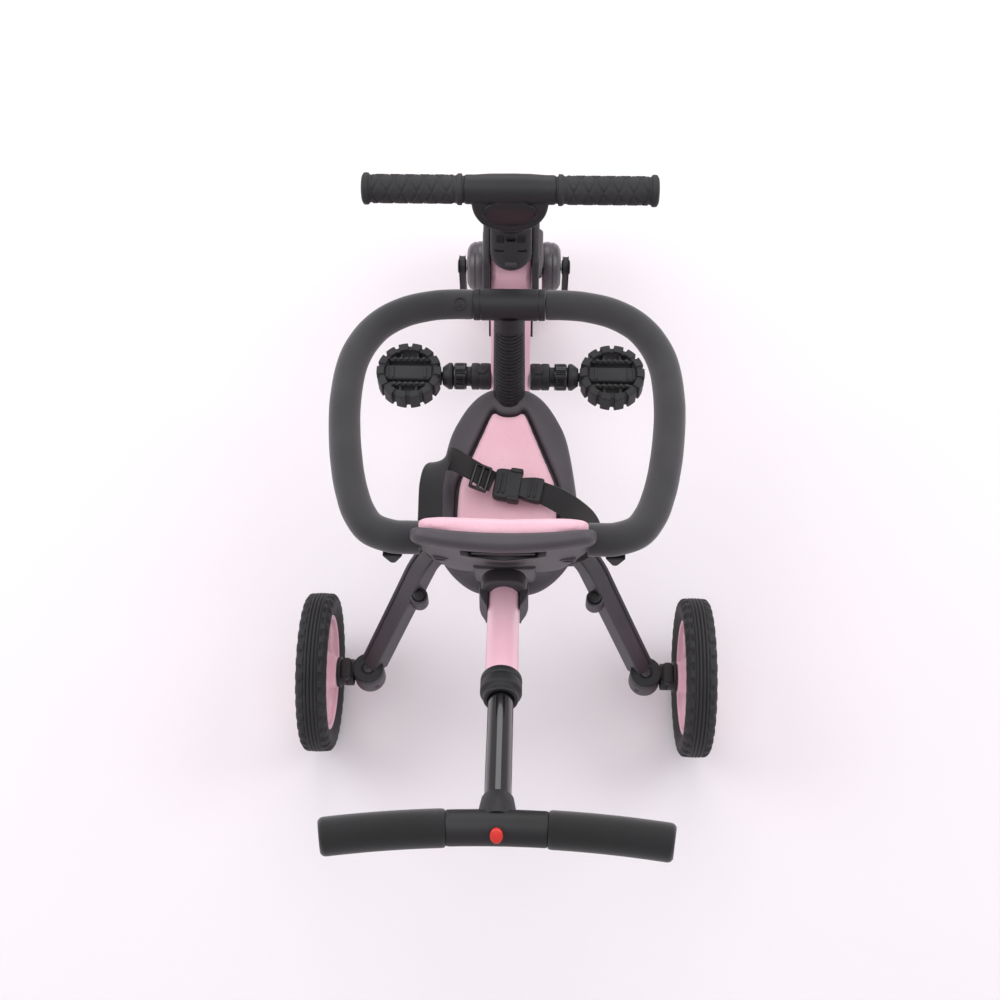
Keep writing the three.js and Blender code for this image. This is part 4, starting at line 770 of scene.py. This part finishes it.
make("hub_moulding", merged(*plates, core, *bolts), GREY, "frame", "hub")

base_profile = [[0.4, 256], [42, 256], [50, 263], [50, 277], [47, 279], [47, 281], [52, 283], [52, 291],
    [48, 295], [0.4, 296.7]]
base_profile = np.concatenate([softened(base_profile[:7], 2), np.column_stack([np.full(9, 52),
    np.linspace(283.4, 290.6, 9)]), softened(base_profile[7:], 2)])
base = turned(base_profile, "z", (0, 74, 0), 288, relief=lambda a, z,
    r: -1.8 * (np.cos(48 * a) > 0.1) * (r > 51) * (np.abs(z - 287) < 3.7))
make("seat_base_moulding", base, BLACK, "frame", "seat_base")

half = through([[0, 238.5], [14, 237.5], [26, 233], [38, 222.5], [50, 204], [61, 177], [69, 130], [72, 92],
    [68.5, 55], [56, 30], [32, 10], [0, 4.5]], 110)
seat_line = both_halves(half)[::-1]
half = through([[0, 204], [9, 205.5], [15.5, 210.5], [19.5, 206], [25, 193], [38.5, 158], [50, 127], [52, 105],
    [50.5, 72], [40, 47], [20, 41], [0, 40]], 90)
cushion_line = both_halves(half)[::-1]
SEAT_MIDDLE, SEAT_POINTS = np.array([0, 120.0]), 400


def reach_by_angle(line, angles):
    """How far a closed outline lies from the saddle's middle in each direction."""
    away = line - SEAT_MIDDLE
    turn = np.arctan2(away[:, 1], away[:, 0])
    order = np.argsort(turn)
    return np.interp(angles, turn[order], np.linalg.norm(away, axis=1)[order], period=2 * np.pi)


def saddle():
    """Saddle shell: rows go up the outer wall, drawn in most behind, then over a broad rounded brim
    from the outer outline to the cushion's, r = outer + (inner - outer) * share, and down beside it."""
    angles = full_turn(SEAT_POINTS) - np.pi
    outer, inner = reach_by_angle(seat_line, angles), reach_by_angle(cushion_line, angles) + 1.4
    behind = 1 + 0.9 * np.clip(-np.sin(angles), 0, 1) ** 2
    radii = [(0.03 * outer, 297.2)] + [(outer - d * behind, z) for d, z in ((20, 297.2), (15, 297.6),
        (9.5, 299.5), (6, 303.5), (3, 309.5), (1.2, 317))]
    brim = ((0, 323), (0.012, 326.5), (0.045, 329.6), (0.11, 332.2), (0.21, 334), (0.34, 334.9), (0.5, 335),
        (0.66, 334.4), (0.8, 333.3), (0.9, 332), (0.96, 330.6), (0.99, 328.6), (1, 325.5), (1.03, 324.2))
    radii += [(outer + (inner - outer) * share, z) for share, z in brim]
    radii += [(inner * scale, 324.0) for scale in (0.9, 0.6, 0.3, 0.03)]
    rows = [np.column_stack([r * np.cos(angles), SEAT_MIDDLE[1] + r * np.sin(angles),
        np.full(SEAT_POINTS, float(z))]) for r, z in radii]
    return skin(np.stack(rows))


make("saddle_shell", saddle(), GREY, "frame", "seat_shell")


def leather_cover():
    """Soft pink cover over foam: a fine pebbled grain from cells in Object coordinates, with faint
    painted shade in the hollows where the cells meet, over the broad patches of the other mouldings."""
    sheen = dict(Sheen_Weight=0.25, Sheen_Roughness=0.4)
    material = moulded("pink_cover", "f3c3d0", "ecb7c7", 0.46, grain=1500, depth=0.00003, **sheen)
    tree = material.node_tree
    where = wired(tree, "TexCoord", {}).outputs["Object"]
    cells = wired(tree, "TexVoronoi", {"Vector": where, "Scale": 620}, feature="DISTANCE_TO_EDGE")
    crease_depth_and_shade = wired(tree, "MapRange", {"Value": cells.outputs["Distance"], "From Max": 0.14, "To Min": 0.9})
    grain = tree.nodes["Bump"].outputs["Normal"]
    bump = wired(tree, "Bump", {"Height": crease_depth_and_shade.outputs["Result"], "Normal": grain, "Distance": 0.00012})
    # painted shade: the base colour falls to 0.9 of itself in the hollows where the cells meet
    paint_shade(material, crease_depth_and_shade.outputs["Result"])
    tree.links.new(bump.outputs["Normal"], tree.nodes["Principled BSDF"].inputs["Normal"])
    return material


PINK_COVER = leather_cover()


CLOTH_CELL = 0.0035


def swell(piece, voxel, cap):
    """Cloth simulation for a pad: the mesh is remade in even cells, blown up from inside with gravity
    off for 20 frames, and no point is kept further than cap metres from where it started."""
    bpy.context.view_layer.objects.active = piece
    remesh = piece.modifiers.new("even", "REMESH")
    remesh.mode, remesh.voxel_size = "VOXEL", voxel
    bpy.ops.object.modifier_apply(modifier=remesh.name)
    count = len(piece.data.vertices)
    start = np.zeros(count * 3)
    piece.data.vertices.foreach_get("co", start)
    cloth = piece.modifiers.new("fill", "CLOTH")
    cloth.settings.use_pressure = True
    cloth.settings.uniform_pressure_force = 4
    cloth.settings.effector_weights.gravity = 0
    for step in range(1, 21):
        bpy.context.scene.frame_set(step)
    blown = piece.evaluated_get(bpy.context.evaluated_depsgraph_get())
    end = np.zeros(count * 3)
    blown.data.vertices.foreach_get("co", end)
    piece.modifiers.remove(cloth)
    bpy.context.scene.frame_set(1)
    shift = (end - start).reshape(-1, 3)
    shift *= np.minimum(1, cap / (np.linalg.norm(shift, axis=1, keepdims=True) + 1e-12))
    piece.data.vertices.foreach_set("co", (start.reshape(-1, 3) + shift).ravel())
    for _ in range(6):
        smooth = piece.modifiers.new("smooth", "SMOOTH")
        smooth.factor, smooth.iterations = 0.5, 1
        bpy.ops.object.modifier_apply(modifier=smooth.name)
    piece.data.shade_smooth()


def filled(piece, cap):
    swell(piece, CLOTH_CELL, cap)
    level = piece.modifiers.new("soft", "SUBSURF")
    level.levels = level.render_levels = 1


cushion = slab(inset(cushion_line, 0.6), 322.6, 337.5, 3, rings=7, crown=1.0)
filled(make("seat_cushion_pad", cushion, PINK_COVER, "frame", "seat_cushion"), 0.0022)

RING_DROP, RING_RADIUS, RING_LENGTH, RING_POINTS = 10.7, 15.0, 284.0, 260
RING = dict(at=(0, 0, 480), tilt=-RING_DROP)
ring_front = np.array([0, RING_LENGTH * math.cos(math.radians(RING_DROP)),
    480 - RING_LENGTH * math.sin(math.radians(RING_DROP))])


def post():
    """Crotch post: rows of a circle carried up a leaning line, with ribs that sag in the middle like
    smiles, a seam down the middle of the rider's side and a plain border beyond."""
    foot = np.array([0, 221.0, 312.0])
    run = ring_front - foot
    length = np.linalg.norm(run)
    run /= length
    at = np.linspace(0, length - 10, 420)[:, None]
    angle = full_turn(120)[None]
    back = np.cross([1.0, 0, 0], run)
    turn = np.angle(np.exp(1j * (angle - np.pi / 2)))
    face = np.clip((1.06 - np.abs(turn)) / 0.1, 0, 1)
    sag = 4.2 * np.cos(turn * 1.3)
    rib = np.clip(np.cos((at + sag) / 4.1 * 2 * np.pi) * 1.7 + 0.5, 0, 1)
    seam = np.exp(-((turn / 0.045) ** 2))
    ends = np.clip((at - 9) / 3, 0, 1) * np.clip((length - 26 - at) / 3, 0, 1)
    radius = 17.0 - 1.5 * at / length - 1.5 * face * (1 - rib) * ends - 0.5 * seam * ends
    radius = radius - 1.6 * np.clip(1 - at / 4, 0, 1) ** 2
    points = foot + at[..., None] * run + (radius * np.cos(angle))[..., None] * [1.0, 0,
        0] + (radius * np.sin(angle))[..., None] * back
    return skin(points)


make("ribbed_post", post(), BLACK, "frame", "crotch_post")

# ------------------------------------------------------------------ guard ring
# A steel hoop in fine black foam runs from one side of the backrest round to the other. Its foam has
# a seam along the lower outer edge. A hard sleeve joins the halves in front, with a screw at its
# side, and under the rear bar a three-cornered tab on each side lets the ring go.
def foam_skin(light, dark):
    """Foam rubber: closely packed pores painted as dark spots of shade, over the fine grain's bump."""
    sheen = dict(Sheen_Weight=0.35, Sheen_Roughness=0.5)
    material = moulded("black_foam", light, dark, 0.86, grain=1100, depth=0.00012, **sheen)
    tree = material.node_tree
    where = wired(tree, "TexCoord", {}).outputs["Object"]
    pores = wired(tree, "TexVoronoi", {"Vector": where, "Scale": 900}).outputs["Distance"]
    pore_shade = wired(tree, "MapRange", {"Value": pores, "From Max": 0.35, "To Min": 0.72})
    # painted shade: the base colour falls to 0.72 of itself at the middle of each pore
    paint_shade(material, pore_shade.outputs["Result"])
    return material


FOAM = foam_skin("333234", "29282a")
STUB_END = 79.8
ring_line = through([[STUB_END - 5, 0], [STUB_END + 4, 0], [100, 1], [119, 9], [131, 26], [138.5, 46],
    [145, 72], [151, 110], [154.4, 155], [152, 200], [143, 231], [127, 256], [104, 273], [78, 281.5],
    [56, RING_LENGTH], [36.4, RING_LENGTH]], 260)
ring_path = np.column_stack([ring_line, np.zeros(RING_POINTS)])
angle = full_turn(80)
seam = np.exp(-((np.angle(np.exp(1j * (angle - 5.2))) / 0.05) ** 2))
rounding = np.ones(RING_POINTS)
rounding[-3:] = [0.995, 0.98, 0.95]
ripple = 1 + 0.004 * np.sin(np.linspace(0, 23, RING_POINTS)) * np.sin(np.linspace(0, 61, RING_POINTS))
foam_radius = (RING_RADIUS - 0.9 * seam[None]) * (rounding * ripple)[:, None]
foam_section = np.stack([foam_radius * np.sin(angle), foam_radius * np.cos(angle)], -1)
for half_ring in pair("ring_foam_cover", carried(ring_path, foam_section, (0, 0, 1)), FOAM, "frame",
    "ring_foam_*", **RING):
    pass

front_sleeve = [[12, -36], [15.3, -36], [15.9, -35], [15.9, -30], [15.2, -29.4], [15.2, -28.6], [15.9, -28],
    [15.9, 28], [15.2, 28.6], [15.2, 29.4], [15.9, 30], [15.9, 35], [15.3, 36], [12, 36]]
front_sleeve = hoop(front_sleeve, 0.5, "x", (0, RING_LENGTH, 0), 120)
make("ring_front_sleeve", front_sleeve, BLACK, "frame", "ring_sleeve", **RING)
cup = hoop([[4.4, 14.2], [5, 15.4], [6.3, 15.4], [6.9, 13], [4.4, 13]], 0.3, "z", sides=48)
SCREW_PLACE = dict(tilt=40, at=(-49, RING_LENGTH, 0))
make("ring_screw_cup", moved(cup, **SCREW_PLACE), BLACK, "frame", **RING)
make("ring_screw", moved(screw_head((0, 0, 13.9), 4.4, (0, 0, 1)), **SCREW_PLACE), BLACK, "frame", **RING)
tab_line = outline([[-2, -12], [2, -12], [9.5, 0], [-9.5, 0]], 2, 60)
tab = facing(slab(tab_line, -4, 4, 1.2, rings=3, crown=0.6), UPRIGHT)
tab = outward(tab[0] + [STUB_END + 20, -6, -RING_RADIUS - 0.4], tab[1])
pair("ring_release", tab, BLACK, "ring_tab_*", "ring_tab_*", **RING)

# ------------------------------------------------------------------ backrest
# A grey moulded shell with a rolled top, dished to the rider's back, with a slot between two
# raised lugs behind, two screws, and a pink padded face. A box-shaped spine joins it to the saddle.
BACKREST = dict(at=(0, 19, 384), tilt=13)
BACK_HEIGHT, BACK_TOP, BACK_BOTTOM, REAR_HOLLOW, HOLLOW_REACH = 156.0, 79.0, 56.0, 9.6, 84


def back_line(draw_in, count=150):
    """The backrest's front view: narrow and round below, widening to a nearly level top."""
    b, t, high = BACK_BOTTOM - draw_in, BACK_TOP - draw_in, BACK_HEIGHT - draw_in
    right = [[b - 16, draw_in], [b - 4, draw_in + 4], [b + 3, draw_in + 17], [t - 2, 88], [t + 1.5, 132],
        [t - 2, high - 6], [t - 12, high]]
    right = through([[0, draw_in], [b - 28, draw_in], *right, [t - 26, high], [0, high]], 90)
    return evenly(both_halves(right), count, closed=True)


def dished(shape, front_hollow, rear_hollow, middle):
    """A slab of the backrest bent round the rider: a point moves forward with the square of its
    distance from the middle, by one amount in front and another behind."""
    points = shape[0].copy()
    across = (points[:, 0] / HOLLOW_REACH) ** 2
    share = np.clip((points[:, 1] - middle[0]) / (middle[1] - middle[0]), 0, 1)
    points[:, 1] += across * (rear_hollow * (1 - share) + front_hollow * share)
    return outward(points, shape[1])


shell = rearward(slab(back_line(0), 2, 15.4, 4.6, rings=14))
height = shell[0][:, 2]
behind = shell[0][:, 1] < -8
roll = np.exp(-(((height - 146) / 11) ** 2))
shell[0][:, 1] -= behind * (2.6 * roll) * np.clip((BACK_HEIGHT - height) / 6, 0.2, 1)
shell[0][:, 1] += behind * 2.2 * (1 / (1 + np.exp((height - 126) / 2.0)))
shell = dished(shell, 6, REAR_HOLLOW, (-15, -2))
spine = slab(rectangle(60, 12, 4, (0, -9)), -42, 40, 1)
make("back_moulding", merged(shell, spine), GREY, "frame", "back_shell", **BACKREST)
lug_line = [[-36, 112], [-28, 103], [28, 103], [36, 112], [38, 127], [31, 127], [29, 119], [24, 114],
    [-24, 114], [-29, 119], [-31, 127], [-38, 127]]
lugs = rearward(slab(outline(lug_line, 3, 130), 11, 19.5, 1.8))
make("back_lugs", dished(lugs, 0, REAR_HOLLOW, (-20, 40)), GREY, "frame", **BACKREST)
make("back_slot", rearward(slab(rectangle(56, 17, 3, (0, 123), 60), 12, 16.2, 0.6)), BLACK, "frame", **BACKREST)
place = (58, REAR_HOLLOW * (58 / HOLLOW_REACH) ** 2 - 13.8, 62)
pair("back_screw", screw_head(place, 4.6, (0, -1, 0.001)), BLACK, "frame", **BACKREST)
cup = hoop([[5, 0], [5.4, -2.2], [7.2, -2.2], [8, 0], [8, 1], [5, 1]], 0.4, "y", place, 48)
pair("back_cup", moved(cup, 0, (0, 0.6, 0)), GREY, "frame", **BACKREST)

pad = dished(rearward(slab(back_line(5.2), -11.6, 2.8, 3.2, rings=9)), 1, 6, (-2, 10))
filled(make("back_cushion_pad", pad, PINK_COVER, "frame", "back_pad", **BACKREST), 0.0018)

# ------------------------------------------------------------------ belt
# Black woven webbing 24 mm wide, from each side of the backrest to a side-release buckle over the
# cushion. The left length passes through a ladder-lock. The weave follows the strap's own length.
def webbing_cloth():
    """Webbing: the product of a sine wave along the strap and one across it makes the rows of the
    weave. They paint shade into the hollows and drive the bump. They read the strap's own lay attribute."""
    material = moulded("webbing", "19171a", "111012", 0.78, grain=1500, depth=0.00002, Sheen_Weight=0.3)
    tree = material.node_tree
    lay = wired(tree, "Attribute", {}, attribute_name="lay")
    split = wired(tree, "SeparateXYZ", {"Vector": lay.outputs["Vector"]})
    waves = []
    for axis, pitch in (("X", 0.0011), ("Y", 0.0016)):
        turns = wired(tree, "Math", {0: split.outputs[axis], 1: 2 * math.pi / pitch}, operation="MULTIPLY")
        waves.append(wired(tree, "Math", {0: turns.outputs[0]}, operation="SINE").outputs[0])
    weave = wired(tree, "Math", dict(enumerate(waves)), operation="MULTIPLY").outputs[0]
    level = wired(tree, "MapRange", {"Value": weave, "From Min": -1, "To Min": 0.55}).outputs["Result"]
    bump = wired(tree, "Bump", {"Height": level, "Distance": 0.00025})
    # painted shade: the weave's hollows fall to 0.55 of the base colour
    paint_shade(material, level)
    tree.links.new(bump.outputs["Normal"], tree.nodes["Principled BSDF"].inputs["Normal"])
    return material


WEBBING = webbing_cloth()
BELT_WIDTH, BELT_THICKNESS = 24.0, 1.8


def strap(name, stations, nodes):
    """Strap: a flat rounded section with raised selvedges, carried along a smooth line through the
    stations, each a centre and the direction across the strap there."""
    count = 150
    both = through([[*c, *(np.array(a) / np.linalg.norm(a) * 40)] for c, a in stations], count)
    line, across = both[:, :3], both[:, 3:]
    section = rectangle(BELT_WIDTH, BELT_THICKNESS, 0.9, count=80)
    section[:, 1] *= 1 + 0.25 * np.exp(-(((np.abs(section[:, 0]) - 10.4) / 0.9) ** 2))
    shape = carried(line, section, across)
    gone = np.concatenate([[0], np.cumsum(np.linalg.norm(np.diff(line, axis=0), axis=1))])
    lay = np.stack([np.repeat(gone / 1000, 80), np.tile(section[:, 0] / 1000, count), np.zeros(count * 80)], -1)
    lay = np.concatenate([lay, lay[:1], lay[-1:]])
    return make(name, shape, WEBBING, "frame", nodes, extra=lay)


strap("lap_strap_left", [((-56, 15, 401), (0.35, 0, 1)), ((-66, 24, 401), (0.8, 0, 0.6)),
    ((-71.4, 38, 401.5), (1, 0, 0.05)), ((-72, 62, 403), (1, 0, 0)), ((-72, 92, 401), (1, 0.1, 0)),
    ((-68, 116, 392), (1, 0.5, -0.1)), ((-56, 129, 380), (0.7, 1, -0.2)), ((-37, 126, 364), (0.2, 1, -0.1)),
    ((-14, 116, 354), (0, 1, 0))], "belt_left")
strap("lap_strap_right", [((30.7, 107, 353.6), (0, 1, 0)), ((48, 99, 354), (0.1, 1, 0.1)),
    ((65, 84, 362), (0.4, 1, 0.3)), ((79, 62, 378), (0.8, 1, 0.6)), ((81, 40, 392), (1, 0.3, 0.3)),
    ((70, 25, 399), (0.8, 0, -0.6)), ((58, 15, 401), (0.35, 0, -1))], "belt_right")


def turned_flat(shape, angle, centre):
    """A shape turned about the vertical through a point."""
    c, s = math.cos(math.radians(angle)), math.sin(math.radians(angle))
    p = shape[0] - [*centre, 0]
    return outward(np.column_stack([p[:, 0] * c - p[:, 1] * s, p[:, 0] * s + p[:, 1] * c, p[:, 2]]) + [*centre,
        0], shape[1])


shell_line = outline([[-14, -15], [-9, -17], [13, -17], [13, 17], [-9, 17], [-14, 15]], 3, 90) + [1, 112]
buckle_shell = slab(shell_line, 349.6, 360, 3, rings=4, crown=1.2)
bars = [slab(rectangle(2.6, 24, 1, (x, 112), 24), 357, 362.4, 0.8) for x in (-7.5, -2.5)]
prongs = [slab(rectangle(13, 5, 2, (8, 112 + y), 30), 351, 361.4, 1.4) for y in (-15.6, 15.6)]
make("buckle_socket", turned_flat(merged(buckle_shell, *bars, *prongs), -8, (1, 112)), BLACK, "frame",
    "buckle_body")
tongue_line = outline([[-13, -10], [2, -13.5], [12, -13.5], [12, 13.5], [2, 13.5], [-13, 10]], 2.4, 80) + [23.8,
    108]
tongue = slab(tongue_line, 350, 358, 2, rings=3, crown=0.8)
tongue_bars = [slab(rectangle(2.2, 21, 0.9, (x, 108), 24), 356, 360.2, 0.7) for x in (23, 28.5)]
make("buckle_prong", turned_flat(merged(tongue, *tongue_bars), -10, (23.8, 108)), BLACK, "frame",
    "buckle_tongue")
lock_frame = [slab(rectangle(3, 29, 1.2, (x, 118), 30), 355.6, 360.2, 1.1) for x in (-34, -26.5, -19)]
lock_frame += [slab(rectangle(18, 3, 1.2, (-26.5, 118 + y), 30), 355.6, 360.2, 1.1) for y in (-13, 13)]
lock = turned_flat(merged(*lock_frame), -14, (-26.5, 118))
lock[0][:, 2] += (-26.5 - lock[0][:, 0]) * 0.32 + 2.4
make("ladder_lock", lock, GLOSS, "frame")

# ------------------------------------------------------------------ push handle
# A grey bracket screwed behind the backrest holds a pink tube. A gloss black tube slides in it
# through a two-step collar, stopped by sprung buttons, and carries a bar with foam grips, a bare
# middle and a red oval release button.
HANDLE = dict(at=(0, -26, 412), tilt=90 - 27.4)
HANDLE_LENGTH, OUTER_TOP, PUSH_RADIUS, PUSH_HALF, RED_TURN = 272.0, 125.0, 15.0, 136.0, 61
TUBE_BLACK = moulded("black_tube", "0d0c0e", "090809", 0.14, grain=200, depth=0.00001, Coat_Weight=0.6,
    Coat_Roughness=0.05)
RED = moulded("red_plastic", "e0372e", "d52f28", 0.3, grain=900, depth=0.00003)

bracket = slab(rectangle(44, 38, 13, (0, 1), 90), -14, 6, 3.4, rings=2)
cheek = [[14.7, -6], [22.4, -6], [22.6, 8], [20.8, 16], [17.4, 23], [15.4, 27], [14.7, 27]]
cheek = facing(slab(outline(cheek, 1.4, 70), -13, 9, 1.6), UPRIGHT)
make("bracket_moulding", merged(bracket, cheek, mirrored(cheek)), GREY, "frame", "handle_bracket", **HANDLE)
make("pink_tube", hoop([[11.4, 6], [14.5, 6], [14.5, OUTER_TOP], [11.4, OUTER_TOP]], 0.8, "z", sides=96),
    PINK_FRAME, "frame", "handle_outer_tube", **HANDLE)
low, high = OUTER_TOP - 14, OUTER_TOP + 12
collar = [[14.8, low], [17.4, low], [18, low + 1.4], [18, low + 6], [17.2, low + 6.6], [17.2, low + 8],
    [18, low + 8.6], [18, high - 8.6], [15, high - 6], [15, high - 1], [14, high], [11.4, high],
    [11.4, OUTER_TOP + 0.4], [14.8, OUTER_TOP + 0.4]]
make("collar_moulding", hoop(collar, 0.7, "z", sides=96), BLACK, "frame", "handle_collar", **HANDLE)
section = rectangle(22, 22, 8.5, count=96)
section /= np.maximum(1, np.linalg.norm(section, axis=1, keepdims=True) / 11)
inner_path = np.column_stack([np.zeros((60, 2)), np.linspace(OUTER_TOP - 18, HANDLE_LENGTH - 16, 60)])
make("sliding_tube", carried(inner_path, section, (1, 0, 0)), TUBE_BLACK, "push_handle", "handle_inner_tube",
    **HANDLE)
make("snap_buttons", rod((-10.9, 0, high + 8), (10.9, 0, high + 8), 3, edge=0.6), BLACK, "push_handle",
    "snap_clip", **HANDLE)


def push_line(start, end, count):
    """The push bar's centre line: it sweeps back with the square of the distance from the middle."""
    x = np.linspace(start, end, count)
    return np.stack([x, 0 * x, HANDLE_LENGTH + 12 * (x / PUSH_HALF) ** 2], -1)


circle = np.stack([np.cos(full_turn(80)), np.sin(full_turn(80))], -1)
core_size = np.full(70, 14.0)
core_size[:3] = core_size[-3:][::-1] = [13, 13.7, 13.95]
core = carried(push_line(-40, 40, 70), circle[None] * core_size[:, None, None], (0, 1, 0))
tube_core = carried(push_line(-128, 128, 60), circle * 9, (0, 1, 0))
boss = turned([[0.4, 244], [12.4, 244], [13, 245], [14.8, 256], [15, 268], [0.4, 270]], "z", sides=80)


def pressed(shape):
    """A shape made on the handle's upper side, turned about the push bar towards the hand."""
    return moved(shape, RED_TURN, (0, 0, HANDLE_LENGTH))


well = pressed(rod((0, 12.6, 0), (0, 14.6, 0), 7.6, 7, edge=0.6))
make("push_bar_moulding", merged(core, tube_core, boss, well), BLACK, "push_handle", "push_bar", **HANDLE)
grip_size = np.full(90, PUSH_RADIUS)
grip_size[:4], grip_size[-5:] = [14.1, 14.7, 14.92, 15], [14.95, 14.8, 14.4, 13.6, 12]
push_grips = pair("push_grip_foam", carried(push_line(39.9, PUSH_HALF, 90), circle[None] * grip_size[:, None,
    None], (0, 1, 0)), foam_skin("171618", "111011"), "push_handle", "push_grip_*", **HANDLE)
oval = np.column_stack([5 * np.cos(full_turn(60)), 6 * np.sin(full_turn(60))])
button = slab(oval, 6.5, 18, 1.6, rings=6, crown=0.8)
button = pressed((button[0][:, [0, 2, 1]], button[1]))
make("red_release", button, RED, "red_button", "red_button", **HANDLE)
